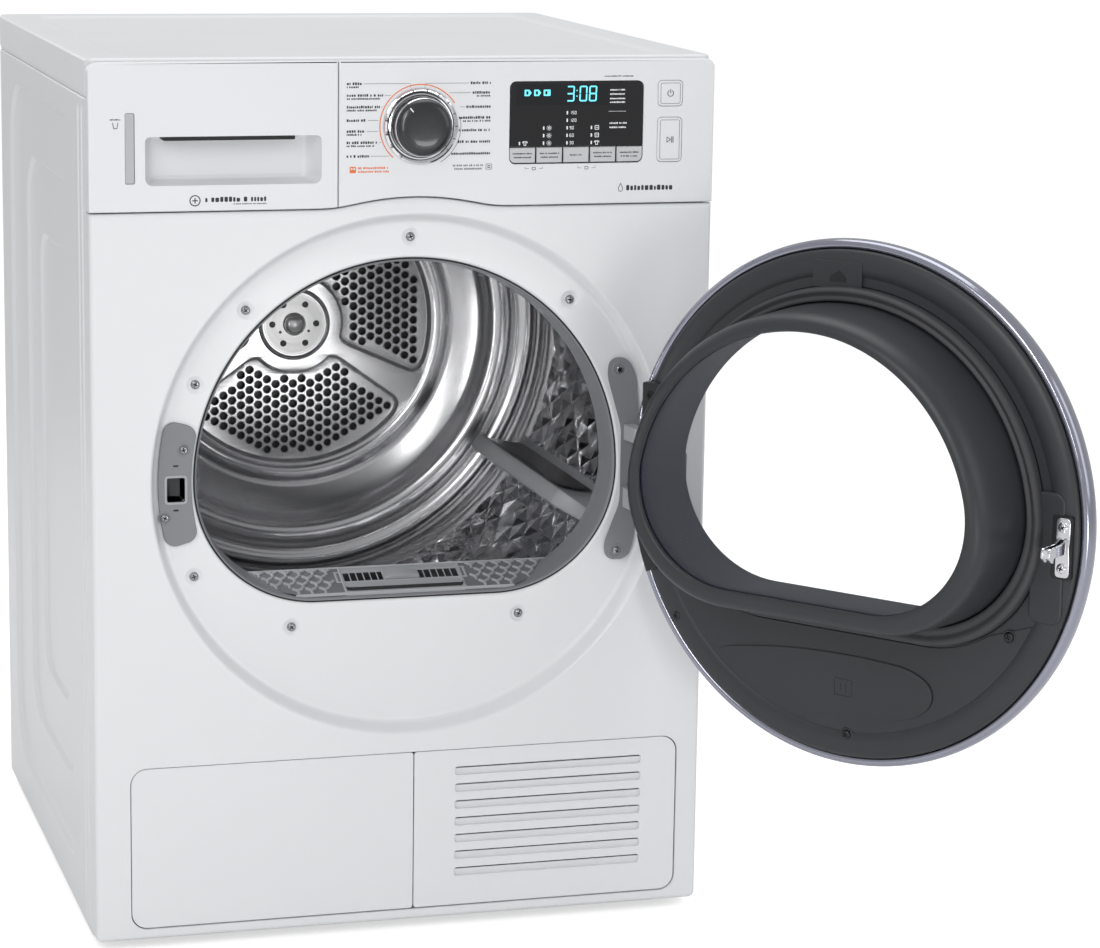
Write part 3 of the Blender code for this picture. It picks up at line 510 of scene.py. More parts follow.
# The grille's top, darker than its ribs: painted shade for the openings between them.
GRILLE_FLOOR_PAINTED_SHADE = material("grille_floor_painted_shade", (0.165, 0.17, 0.18), 0.5, vary=0.06, grain=1800)
KEY_GREY = material("key_grey", (0.56, 0.57, 0.58), 0.38, vary=0.02, grain=2200, bump=0.08)
GLASS_BLACK = material("black_glass", (0.004, 0.004, 0.005), 0.04, vary=0.02, rough_vary=0.01, coat=0.6)
GLASS_BAND = material("black_glass_band", (0.01, 0.011, 0.013), 0.08, vary=0.02, rough_vary=0.02)
KNOB_BLACK = material("knob_gloss", (0.016, 0.017, 0.019), 0.3, vary=0.03, grain=2600, bump=0.04, coat=0.5)
NAVY = material("navy_wall", (0.005, 0.005, 0.018), 0.55, vary=0.04, grain=600, bump=0.0, specular=0.1)
SILVER = material("silver_rim", (0.36, 0.37, 0.44), 0.16, 0.85, vary=0.03, grain=1000, coat=0.5)
CLEAR = material(
    "clear_glass", (0.8, 0.84, 0.9), 0.03, vary=0.01, rough_vary=0.01, bump=0.0, alpha=0.03
)
RUBBER = material("door_rubber", (0.055, 0.056, 0.06), 0.55, vary=0.06, grain=1500, bump=0.15)
BLACK_RUBBER = material("black_rubber", (0.02, 0.02, 0.021), 0.7, vary=0.08, grain=1200, bump=0.2)
ALUMINIUM = material("bare_aluminium", (0.66, 0.67, 0.68), 0.32, 1.0, vary=0.06, grain=900)
BLACK_STEEL = material("black_enamel", (0.02, 0.02, 0.022), 0.35, vary=0.1, grain=500, bump=0.08)
BOARD = material("solder_mask", (0.015, 0.11, 0.05), 0.4, vary=0.2, grain=900, blotch=90)
PRINT = material("print_grey", (0.022, 0.023, 0.026), 0.5, vary=0.05)
PRINT_SOFT = material("print_pale", (0.16, 0.165, 0.175), 0.5, vary=0.04)
ORANGE = material("print_orange", (0.8, 0.185, 0.045), 0.45, vary=0.04)
# White print that glows faintly though it is no lamp: painted light.
WHITE_PRINT_PAINTED_GLOW = material("print_white_painted_glow", (0.72, 0.74, 0.75), 0.45, vary=0.03, glow=0.25)
CYAN = material("lit_cyan", (0.13, 0.62, 0.72), 0.4, vary=0.05, glow=0.9)
WINDOW_GREY = material("level_window", (0.5, 0.515, 0.53), 0.18, vary=0.03, coat=0.3)


# --- Cabinet outside --------------------------------------------------------------------------

def rounding(outline, front, back, edge, steps=5):
    """Loops from the flat front, round the edge, to the back."""
    loops = []
    for step in range(steps + 1):
        angle = math.pi / 2 * step / steps
        moved = inset(outline, edge * (1 - math.sin(angle)))
        loops.append(at(moved, front + edge * (1 - math.cos(angle))))
    loops.append(at(outline, back))
    return loops


RECESS_SCREWS = (
    (0.007, 0.68), (-0.151, 0.614), (-0.199, 0.545), (0.165, 0.616),
    (-0.201, 0.361), (-0.107, 0.307), (0.118, 0.309),
)
KICK = (-0.2665, 0.0225, 0.2775, 0.1815)
LID_RIGHT = 0.01


def hook_place():
    """The middle of the hook's hole, a little nearer the opening than the lock behind it."""
    middle = local_centre("lock_housing")
    return middle.x + 0.002, middle.z


def make_front_panel():
    """The front sheet: its rounded edge, the dished ring with screw dimples, and the opening."""
    panel = Shape()
    left, bottom, right = -HALF, FLOOR_GAP, HALF
    xs = np.linspace(right, left, 140)
    top = np.array([(x, seam_height(x) - SEAM_GAP) for x in xs])
    outline = np.concatenate((
        arc((right - 0.006, bottom + 0.006), 0.006, 270, 360, 8), top,
        arc((left + 0.006, bottom + 0.006), 0.006, 180, 270, 8),
    ))
    edge = rounding(outline, 0.0, PANEL_DEPTH, 0.0042)
    shoulder = circle(RING, RING_SHOULDER)
    kick = rounded(*KICK, 0.016)
    lip = rounding(kick, 0.0, 0.01, -0.0007)
    panel.loops(edge)
    panel.loops(lip)
    panel.fill([edge[0], at(shoulder, 0.0), lip[0]])
    dish = (
        (RING_SHOULDER, 0.0), (0.2526, 0.0002), (0.2514, 0.0009), (0.2505, 0.0021), (0.2498, 0.0038),
        (0.2486, 0.0075), (0.2474, 0.0115), (0.2463, 0.015), (0.2452, 0.0172), (0.2438, 0.0184),
        (0.2424, 0.0189), (0.2405, RING_FLOOR),
    )
    panel.lathe(dish, RING, AROUND)
    rolled = ((0.003, RING_FLOOR), (0.0018, 0.0192), (0.0008, 0.0199), (0.0002, 0.0211),
              (0.0, 0.0225), (0.0, 0.0262))
    panel.loops([at(mouth(MOUTH, grow), y) for grow, y in rolled])
    holes = [at(mouth(MOUTH, 0.003), RING_FLOOR)]
    for place in RECESS_SCREWS:
        dimple = ((0.0092, RING_FLOOR), (0.008, RING_FLOOR + 0.0003), (0.0066, RING_FLOOR + 0.0012),
                  (0.0054, RING_FLOOR + 0.0015))
        rings = [at(circle(place, radius, 32), y) for radius, y in dimple]
        panel.cup(rings)
        holes.append(rings[0])
    x, z = hook_place()
    slot = rounded(x - 0.0085, z - 0.0115, x + 0.0085, z + 0.0115, 0.002)
    panel.loops([at(slot, RING_FLOOR), at(slot, 0.0215)])
    holes.append(at(slot, RING_FLOOR))
    panel.fill([at(circle(RING, 0.2405), RING_FLOOR), *holes])
    panel.make("front_panel_skin", ENAMEL, "cabinet", "white_paint", ["front_panel"])

    screws = Shape()
    for number, (x, z) in enumerate(RECESS_SCREWS):
        screws.screw(x, z, RING_FLOOR + 0.001, 0.0043, 17 + 23 * number)
    # The cross recesses take SHADOW: painted shade.
    screws.make("recess_screws", [SCREW_STEEL, SHADOW], "cabinet", "chrome")


def make_side_panels():
    """Pressed side sheets: three nested rounded steps, and two stiffening ridges by the front."""
    front, back = PANEL_DEPTH + 0.0005, 0.6115
    top = 0.8135
    steps = (
        (0.092, 0.052, 0.548, 0.79, 0.075, 0.0, 0.005, 0.009),
        (0.15, 0.122, 0.458, 0.722, 0.06, 0.005, 0.0095, 0.008),
        (0.212, 0.185, 0.395, 0.648, 0.04, 0.0095, 0.0135, 0.008),
    )
    for name, side in (("left", -1), ("right", 1)):
        turn = Matrix(((0, -side, 0, side * HALF), (1, 0, 0, 0), (0, 0, 1, 0), (0, 0, 0, 1)))
        sheet = Shape(turn)
        outline = rounded(front, FLOOR_GAP, back, top, 0.002, 12)
        edge = rounding(outline, 0.0, 0.004, 0.0015, 3)
        sheet.loops(edge)
        outer = edge[0]
        ridges = []
        for left in (0.034, 0.056):
            ridge = rounded(left, 0.022, left + 0.012, 0.806, 0.006, 12)
            loops = [at(inset(ridge, 0.0052 * share), 0.0036 * math.sin(math.pi / 2 * share) ** 2)
                     for share in np.linspace(0, 1, 6)]
            sheet.cup(loops)
            ridges.append(loops[0])
        for left, low, right, high, radius, start, end, width in steps:
            path = rounded(left, low, right, high, radius, 12)
            loops = slope(path, width, start, end)
            sheet.fill([outer, loops[0], *ridges])
            sheet.loops(loops)
            outer, ridges = loops[-1], []
        sheet.fill([outer])
        sheet.make(f"side_skin_{name}", ENAMEL, "cabinet", "white_paint", [f"side_panel_{name}"])
    cheeks = Shape()
    for left, right in ((-HALF, -HALF + 0.0016), (HALF - 0.0016, HALF)):
        cheek = rounded(left, SEAM_Z + 0.001, right, top, 0.0003, 2)
        cheeks.slab(cheek, FASCIA_DEPTH + 0.0003, PANEL_DEPTH + 0.0002, 0.0)
    cheeks.make("fascia_cheeks", ENAMEL, "cabinet", "white_paint")


def make_worktop():
    """The worktop: a rounded slab with a shallow dip inside its rim."""
    front, low = local_box("top_panel")[0].y, local_box("top_panel")[0].z
    outline = rounded(-HALF, front, HALF, DEPTH, 0.009, 10)
    top = Shape(FROM_ABOVE)
    edge = rounding(outline, -TOP, -(low + 0.004), 0.0034)
    foot = [at(outline, -(low + 0.004)), at(inset(outline, 0.0008), -(low + 0.0032)),
            at(inset(outline, 0.0012), -low), at(inset(outline, 0.004), -low)]
    top.loops(edge)
    top.loops(foot)
    dip = rounded(-HALF + 0.034, front + 0.026, HALF - 0.034, DEPTH - 0.03, 0.012, 10)
    sides = slope(dip, 0.01, -TOP, -TOP + 0.0022)
    top.loops(sides)
    top.fill([edge[0], sides[0]])
    top.fill([sides[-1]])
    top.fill([foot[-1]])
    top.make("worktop_skin", WORKTOP, "cabinet", "white_plastic", ["top_panel"])


def make_rear():
    """The back sheet with a pressed frame, louvres, screws and the round cover of the air duct."""
    low, high = local_box("rear_panel")
    turn = Matrix(((-1, 0, 0, 0), (0, -1, 0, high.y), (0, 0, 1, 0), (0, 0, 0, 1)))
    sheet = Shape(turn)
    outline = rounded(-high.x, low.z, high.x, high.z, 0.004)
    edge = rounding(outline, 0.0, 0.0014, 0.0006, 3)
    sheet.loops(edge)
    frame_path = rounded(-0.262, 0.052, 0.262, 0.778, 0.03, 10)
    floor = 0.0035
    press = slope(frame_path, 0.009, 0.0, floor, 6)
    sheet.loops(press)
    sheet.fill([edge[0], press[0]])
    holes = []
    for row in range(6):
        for column in range(3):
            left, bottom = -0.2 + column * 0.15, 0.1 + row * 0.018
            slot = rounded(left, bottom, left + 0.1, bottom + 0.008, 0.003, 4)
            hood = [at(inset(slot, moved), floor - proud)
                    for moved, proud in ((0.0, 0.0), (0.0006, 0.0014), (0.0016, 0.0022))]
            sheet.cup(hood)
            holes.append(hood[0])
    cover = circle((-DRUM[0], DRUM[1]), 0.178, 128)
    dome = [at(inset(cover, 0.03 * share), floor - 0.0045 * math.sin(math.pi / 2 * share))
            for share in np.linspace(0, 1, 8)]
    inner = [at(inset(cover, 0.075 + 0.02 * share), floor - 0.0045 + 0.003 * swell(share))
             for share in np.linspace(0, 1, 7)]
    sheet.loops(dome)
    sheet.loops(inner)
    sheet.fill([dome[-1], inner[0]])
    sheet.fill([inner[-1]])
    holes.append(dome[0])
    sheet.fill([press[-1], *holes])
    for x in (-0.278, 0.0, 0.278):
        for z in (0.032, 0.3, 0.56, 0.796):
            if abs(x) > 0.1 or not 0.1 < z < 0.7:
                sheet.screw(x, z, 0.0002, 0.004, 40 * z * 10, mark=1, dark=2)
    # The screws' cross recesses take SHADOW: painted shade.
    sheet.make("rear_skin", [ZINC, SCREW_STEEL, SHADOW], "cabinet", "zinc_steel", ["rear_panel"])


def make_kick():
    """The lid over the exchanger, and the vent beside it with its seven louvres."""
    gap = 0.0009
    lid = Shape()
    outline = rounded(KICK[0] + gap, KICK[1] + gap, LID_RIGHT - gap / 2, KICK[3] - gap,
                      (0.003, 0.0152, 0.0152, 0.003))
    lid.slab(outline, 0.0002, 0.0034, 0.0007)
    for x in (-0.2, -0.06):
        clip = rounded(x - 0.012, 0.1605, x + 0.012, 0.1655, 0.001, 3)
        lid.slab(clip, 0.0034, 0.019, 0.0)
    lid.make("exchanger_lid_skin", ENAMEL, "lid", "white_plastic", ["exchanger_lid"])

    vent = Shape()
    outline = rounded(LID_RIGHT + gap / 2, KICK[1] + gap, KICK[2] - gap, KICK[3] - gap,
                      (0.0152, 0.003, 0.003, 0.0152))
    edge = rounding(outline, 0.0003, 0.0034, 0.0007)
    vent.loops(edge)
    holes = []
    for row in range(7):
        low = 0.053 + row * 0.017
        slot = rounded(0.051, low, 0.24, low + 0.0085, 0.0025, 5)
        rim = rounding(slot, 0.0003, 0.0028, -0.0008, 3)
        vent.loops(rim)
        holes.append(rim[0])
        back_edge = [at(rim[-1][:, [0, 2]], 0.0028), at(rim[-1][:, [0, 2]], 0.0031)]
        vent.loops(back_edge)
        # The blade's face, its back and the lip between them, each across the whole slot.
        for foot, head in (((0.003, 0.0), (0.0006, 0.0066)), ((0.0038, 0.0004), (0.0014, 0.007)),
                           ((0.0006, 0.0066), (0.0014, 0.007))):
            vent.add([(x, y, low + up) for x, (y, up) in
                      ((0.0508, foot), (0.2402, foot), (0.2402, head), (0.0508, head))], [(0, 1, 2, 3)])
    vent.fill([edge[0], *holes])
    vent.make("vent_skin", ENAMEL, "cabinet", "white_plastic", ["vent_grille"])


FOOT_PROFILE = (
    (0.0001, -0.0001), (0.0175, 0.0), (0.0196, -0.0012), (0.02, -0.003), (0.0196, -0.0078),
    (0.017, -0.009), (0.006, -0.0095), (0.005, -0.0105), (0.005, -0.0375), (0.0001, -0.038),
)


def make_feet():
    """Four rubber feet with their hexagon nuts."""
    for place in ("front_left", "front_right", "back_left", "back_right"):
        node = f"foot_{place}"
        foot = Shape(FROM_ABOVE)
        centre = local_centre(node).xy
        foot.lathe(FOOT_PROFILE, centre, 48)
        nut = np.array(around(centre, 0.0085, range(0, 360, 60)))
        foot.slab(nut, -0.0115, -0.0092, 0.0006)
        foot.make(f"{node}_skin", BLACK_RUBBER, f"{place}_foot", "dark_plastic", [node])


# --- Fascia -----------------------------------------------------------------------------------

FASCIA_TOP = local_box("control_panel")[1].z
FASCIA_DEPTH = local_box("control_panel")[1].y
DISPLAY = (0.097, 0.749, 0.229, 0.827)
KEY_TOP = 0.765
KNOB = (local_centre("program_knob").x, local_centre("program_knob").z)
KNOB_MARK = 128
BUTTONS = {"power": "power_button", "start": "start_button"}
PRINT_FRONT = -0.00012


def fascia_outline(left, right, top_radii):
    """A stretch of the fascia, from its arched seam to its rounded top corners."""
    xs = np.linspace(left, right, 110)
    seam = np.array([(x, seam_height(x) + 0.0002) for x in xs])
    top_right = arc((right - top_radii[0], FASCIA_TOP - top_radii[0]), top_radii[0], 0, 90, 10)
    top_left = arc((left + top_radii[1], FASCIA_TOP - top_radii[1]), top_radii[1], 90, 180, 10)
    return np.concatenate((seam, top_right, top_left))


def make_control_panel():
    """The right part of the fascia, and its two buttons with their signs."""
    panel = Shape()
    edge = rounding(fascia_outline(DRAWER_EDGE + 0.0004, HALF, (0.009, 0.0006)), 0.0, FASCIA_DEPTH, 0.0016)
    panel.loops(edge)
    holes = []
    paths = [rounded(*DISPLAY, 0.0062), circle(KNOB, 0.0062, 32)]
    for node in BUTTONS.values():
        low, high = local_box(node)
        paths.append(rounded(low.x - 0.0004, low.z - 0.0004, high.x + 0.0004, high.z + 0.0004, 0.0044))
    for path in paths:
        lip = rounding(path, 0.0, 0.006, -0.0005, 3)
        panel.loops(lip)
        holes.append(lip[0])
    panel.fill([edge[0], *holes])
    panel.make("control_panel_skin", MOULDED, "cabinet", "white_plastic", ["control_panel"])

    for body, node in BUTTONS.items():
        low, high = local_box(node)
        outline = rounded(low.x, low.z, high.x, high.z, 0.004)
        button = Shape()
        button.slab(outline, low.y, high.y, 0.0011)
        # A pale-grey ring drawn a little proud of the cap for its groove: painted shade in the groove.
        groove = inset(outline, 0.0022)
        button.slab(groove, low.y - 0.0002, low.y + 0.0002, 0.0001, [inset(groove, 0.00045)], mark=1)
        middle = ((low.x + high.x) / 2, (low.z + high.z) / 2)
        front, back = low.y - 0.00025, low.y + 0.0001
        if body == "power":
            bow = arc(middle, 0.0032, 120, 420, 20)
            back_bow = arc(middle, 0.0026, 420, 120, 20)
            button.slab(np.concatenate((bow, back_bow)), front, back, 0.0, mark=2)
            stem = rounded(middle[0] - 0.0003, middle[1], middle[0] + 0.0003, middle[1] + 0.004, 0.0002, 2)
            button.slab(stem, front, back, 0.0, mark=2)
        else:
            arrow = np.array([(-0.003, -0.003), (0.0012, 0.0), (-0.003, 0.003)]) + middle
            button.slab(arrow, front, back, 0.0, [inset(arrow, 0.0005)], mark=2)
            for x in (0.002, 0.0034):
                button.slab(rounded(middle[0] + x - 0.0003, middle[1] - 0.003, middle[0] + x + 0.0003,
                                    middle[1] + 0.003, 0.0002, 2), front, back, 0.0, mark=2)
        button.make(f"{node}_cap", [MOULDED, PRINT_SOFT, PRINT], body, "white_plastic", [node])


def worded(shape, left, bottom, right, height, seed, mark=0, front=PRINT_FRONT):
    """A row of short strokes that stands for a line of small print."""
    order = np.random.default_rng(seed)
    x = left
    while x < right - height * 0.3:
        wide = min(height * order.uniform(0.35, 0.75), right - x)
        tall = height * order.uniform(0.72, 1.0)
        shape.slab(rounded(x, bottom, x + wide, bottom + tall, height * 0.12, 1), front, 0.0, 0.0, mark=mark)
        x += wide + height * (0.22 if order.random() > 0.16 else 0.75)


def bar(shape, left, bottom, right, top, mark=0, front=PRINT_FRONT, back=0.0):
    shape.slab(rounded(left, bottom, right, top, min(right - left, top - bottom) * 0.2, 1),
               front, back, 0.0, mark=mark)


def make_fascia_print():
    """Programme names round the knob as plain strokes, their leader lines, and the coloured arcs."""
    dark, x0, z0 = Shape(), KNOB[0], KNOB[1]
    left_rows = (0.0396, 0.0288, 0.018, 0.0056, -0.0045, -0.015, -0.0277)
    left_ends = (0.056, 0.036, 0.039, 0.052, 0.053, 0.041, 0.049)
    right_rows = (0.0396, 0.0306, 0.0174, 0.0072, -0.0045, -0.0153, -0.0264)
    right_starts = (0.048, 0.05, 0.044, 0.037, 0.037, 0.036, 0.03)
    for number, (z, end) in enumerate(zip(left_rows, left_ends)):
        worded(dark, x0 - 0.0705, z0 + z - 0.0009, x0 - end, 0.0026, 10 + number)
        if number not in (3, 6):
            worded(dark, x0 - 0.0705, z0 + z - 0.0037, x0 - end - 0.003, 0.0019, 30 + number)
        reach = math.sqrt(max(0.04 ** 2 - z ** 2, 0.0)) if abs(z) < 0.039 else 0.01
        bar(dark, x0 - end + 0.0016, z0 + z, x0 - reach - 0.0006, z0 + z + 0.0004, 1)
    for number, (z, start) in enumerate(zip(right_rows, right_starts)):
        worded(dark, x0 + start, z0 + z - 0.0009, x0 + 0.0675, 0.0026, 50 + number)
        if number in (1, 3):
            worded(dark, x0 + start + 0.004, z0 + z - 0.0037, x0 + 0.0675, 0.0019, 70 + number)
        reach = math.sqrt(max(0.041 ** 2 - z ** 2, 0.0)) if abs(z) < 0.039 else 0.004
        if start - 0.0016 > reach + 0.0008:
            bar(dark, x0 + reach + 0.0006, z0 + z, x0 + start - 0.0016, z0 + z + 0.0004, 1)
    for x in (-0.0098, 0.004):
        bar(dark, x0 + x, z0 + 0.036, x0 + x + 0.0003, z0 + 0.0399, 1)
    dark.slab(sector(KNOB, 0.0388, 0.0392, -60, 12, 0.0001, 0.001), PRINT_FRONT, 0.0, 0.0, mark=0)
    worded(dark, x0 + 0.0315, z0 - 0.0382, x0 + 0.0615, 0.0019, 90, mark=1)
    worded(dark, x0 + 0.033, z0 - 0.0414, x0 + 0.0615, 0.0019, 91, mark=1)
    tile = rounded(x0 + 0.0635, z0 - 0.0415, x0 + 0.0695, z0 - 0.036, 0.0008, 2)
    dark.slab(tile, PRINT_FRONT, 0.0, 0.0, [inset(tile, 0.0005)], mark=1)
    bar(dark, x0 + 0.065, z0 - 0.04, x0 + 0.068, z0 - 0.039, 1)
    bar(dark, x0 + 0.065, z0 - 0.0384, x0 + 0.068, z0 - 0.0374, 1)
    worded(dark, 0.19, 0.8305, 0.2185, 0.0013, 92)
    for middle in (0.1215, 0.1735):
        for side in (-1, 1):
            outer = middle + side * 0.0085
            bar(dark, min(outer, outer - side * 0.0035), 0.7445, max(outer, outer - side * 0.0035), 0.7448)
            bar(dark, outer - 0.00015, 0.7445, outer + 0.00015, 0.7465)
        tile = rounded(middle - 0.0018, 0.7432, middle + 0.0018, 0.7462, 0.0006, 2)
        dark.slab(tile, PRINT_FRONT, 0.0, 0.0, [inset(tile, 0.0005)])
    drop = eased(
        [(0.206, 0.7215), (0.2095, 0.7215), (0.2102, 0.725), (0.20775, 0.73), (0.2053, 0.725)], 0.001
    )
    dark.slab(drop, PRINT_FRONT, 0.0, 0.0, [inset(drop, 0.0006)])
    worded(dark, 0.2135, 0.7225, 0.262, 0.0052, 95)
    dark.make("fascia_print", [PRINT, PRINT_SOFT], "cabinet", "black_gloss")

    orange = Shape()
    orange.slab(sector(KNOB, 0.0384, 0.0394, 33, 228, 0.0001, 0.001), -0.00015, 0.0, 0.0)
    tile = rounded(x0 - 0.0675, z0 - 0.043, x0 - 0.0615, z0 - 0.037, 0.0008, 2)
    cells = [rounded(x0 - 0.0665, z0 - 0.04, x0 - 0.0648, z0 - 0.038, 0.0002, 1),
             rounded(x0 - 0.064, z0 - 0.04, x0 - 0.0624, z0 - 0.038, 0.0002, 1)]
    orange.slab(tile, -0.00015, 0.0, 0.0, cells)
    worded(orange, x0 - 0.0595, z0 - 0.0394, x0 - 0.029, 0.0022, 93)
    worded(orange, x0 - 0.0595, z0 - 0.0428, x0 - 0.029, 0.002, 94)
    orange.make("fascia_print_orange", ORANGE, "cabinet", "white_plastic")


SEGMENTS = {
    "0": "abcdef", "1": "bc", "2": "abged", "3": "abgcd", "5": "afgcd", "6": "afgedc", "8": "abcdefg",
    "9": "abcdfg",
}


def digit(shape, text, left, bottom, wide, tall, thick, front, back, mark=0, slant=0.0):
    """One seven-segment numeral."""
    middle = bottom + tall / 2
    gap = thick * 0.18
    bars = {
        "a": (left + thick * 0.6, bottom + tall - thick, left + wide - thick * 0.6, bottom + tall),
        "g": (left + thick * 0.6, middle - thick / 2, left + wide - thick * 0.6, middle + thick / 2),
        "d": (left + thick * 0.6, bottom, left + wide - thick * 0.6, bottom + thick),
        "f": (left, middle + gap, left + thick, bottom + tall - thick * 0.5),
        "b": (left + wide - thick, middle + gap, left + wide, bottom + tall - thick * 0.5),
        "e": (left, bottom + thick * 0.5, left + thick, middle - gap),
        "c": (left + wide - thick, bottom + thick * 0.5, left + wide, middle - gap),
    }
    for key in SEGMENTS[text]:
        low_x, low_z, high_x, high_z = bars[key]
        path = rounded(low_x, low_z, high_x, high_z, thick * 0.3, 2)
        path[:, 0] += (path[:, 1] - bottom) * slant
        shape.slab(path, front, back, 0.0, mark=mark)


def icon(shape, x, z, size, front, back, mark, kind):
    """A small sign: a sun, a shirt, a crossed drum or an arrowed tile."""
    thin = size * 0.11
    if kind == "sun":
        disc = circle((x, z), size * 0.24, 16)
        shape.slab(disc, front, back, 0.0, [inset(disc, thin)], mark=mark)
        for ray in range(8):
            path = tick((x, z), 45 * ray, size * 0.34, size * 0.48, thin / 2)
            shape.slab(path, front, back, 0.0, mark=mark)
    elif kind == "shirt":
        half = ((0.24, -0.42), (0.24, 0.08), (0.46, 0.02), (0.5, 0.24), (0.22, 0.42))
        path = np.array([(-0.24, -0.42), *half, (0.0, 0.3), *[(-u, v) for u, v in half[:0:-1]]])
        path = path * size + (x, z)
        shape.slab(path, front, back, 0.0, [inset(path, thin)], mark=mark)
    else:
        path = rounded(x - size * 0.4, z - size * 0.4, x + size * 0.4, z + size * 0.4, size * 0.1, 2)
        shape.slab(path, front, back, 0.0, [inset(path, thin)], mark=mark)
        bar(shape, x - size * 0.2, z - thin / 2, x + size * 0.2, z + thin / 2, mark, front, back)


def make_display():
    """The display glass, the lit marks, the printed ones, and the five keys under it."""
    left, bottom, right, top = DISPLAY
    edge = 0.0005
    front = -0.0004
    glass = Shape()
    pane = rounded(left + edge, KEY_TOP + 0.0002, right - edge, top - edge, (0.0058, 0.0058, 0.0002, 0.0002))
    glass.slab(pane, front, 0.004, 0.0005)
    surround = rounded(left + edge, bottom + edge, right - edge, KEY_TOP + 0.0004,
                       (0.0002, 0.0002, 0.0058, 0.0058))
    glass.slab(surround, 0.0026, 0.004, 0.0)
    glass.slab(rounded(left + 0.0065, top - 0.0228, right - 0.033, top - 0.003, 0.0015), front - 0.00004,
               0.0, 0.0, mark=1)
    glass.make("display_glass_panel", [GLASS_BLACK, GLASS_BAND], "cabinet", "black_glass", ["display_glass"])

    lit, face = Shape(), front + PRINT_FRONT
    base, tall, wide, thick = top - 0.0195, 0.0148, 0.0078, 0.0014
    for text, x in (("3", 0.0555), ("0", 0.068), ("8", 0.0775)):
        digit(lit, text, left + x, base, wide, tall, thick, face, 0.0, slant=0.03)
    for z in (0.0045, 0.0098):
        dot = rounded(left + 0.0652, base + z, left + 0.0664, base + z + 0.0012, 0.0003, 2)
        lit.slab(dot, face, 0.0, 0.0)
    for number in range(3):
        x, z = left + 0.0178 + 0.0093 * number, top - 0.011
        tile = rounded(x - 0.0034, z - 0.003, x + 0.0034, z + 0.003, 0.0007, 2)
        holes = [rounded(x - 0.0018, z - 0.0016, x + 0.0004, z + 0.0016, 0.0004, 2)]
        if number < 2:
            tile = (x, z) + np.array(
                [(-0.0034, -0.003), (0.0012, -0.003), (0.0036, 0.0), (0.0012, 0.003), (-0.0034, 0.003)]
            )
        lit.slab(tile, face, 0.0, 0.0, holes)
    lit.make("display_lit_marks", CYAN, "cabinet", "black_glass")

    # White print given a faint glow: painted light.
    white = Shape()
    rows = [top - 0.03 - 0.0071 * row for row in range(5)]
    columns = ((0.0094, ("shirt",)), (0.033, ("sun", "sun", "sun")), (0.08, ("tile", "tile", "shirt")))
    for x, kinds in columns:
        for row, kind in zip(rows[-len(kinds):], kinds):
            bar(white, left + x, row - 0.0016, left + x + 0.0013, row + 0.0016, 0, face, 0.0)
            icon(white, left + x + 0.006, row, 0.0052, face, 0.0, 0, kind)
    for row, text in zip(rows, ("150", "120", "90", "60", "30")):
        bar(white, left + 0.056, row - 0.0016, left + 0.0573, row + 0.0016, 0, face, 0.0)
        for place, character in enumerate(text):
            digit(white, character, left + 0.059 + 0.0024 * place, row - 0.0015, 0.0018, 0.0031, 0.00042,
                  face, 0.0)
    for number, z in enumerate((0.0095, 0.0135, 0.0177, 0.0212)):
        worded(white, left + 0.0985, top - z, left + 0.1135, 0.0016, 120 + number, front=face)
    bar(white, left + 0.0975, top - 0.0292, left + 0.1145, top - 0.0289, 0, face, 0.0)
    for number, z in enumerate((0.041, 0.045)):
        worded(white, left + 0.0985, top - z, left + 0.1155, 0.0017, 130 + number, front=face)
    white.make("display_marks", WHITE_PRINT_PAINTED_GLOW, "cabinet", "black_glass")

    for number in range(1, 6):
        node = f"option_key_{number}"
        low, high = local_box(node)
        radii = [0.0003, 0.0003, 0.0052 if number == 1 else 0.0003, 0.0052 if number == 5 else 0.0003]
        key = Shape()
        outline = rounded(low.x + 0.0003, low.z + 0.0008, high.x - 0.0003, high.z, radii, 6)
        key.slab(outline, low.y - 0.0002, 0.0011, 0.0005)
        middle = (low.x + high.x) / 2
        key_front = low.y - 0.00032
        lines = ((0.0, 0.006),) if number == 3 else ((0.0018, 0.0095), (-0.0018, 0.0085))
        for line, (z, half) in enumerate(lines):
            worded(key, middle - half, (low.z + high.z) / 2 + z - 0.0006, middle + half, 0.0015,
                   140 + 10 * number + line, 1, key_front)
        key.make(f"{node}_cap", [KEY_GREY, PRINT], f"key_{number}", "light_grey_plastic", [node])


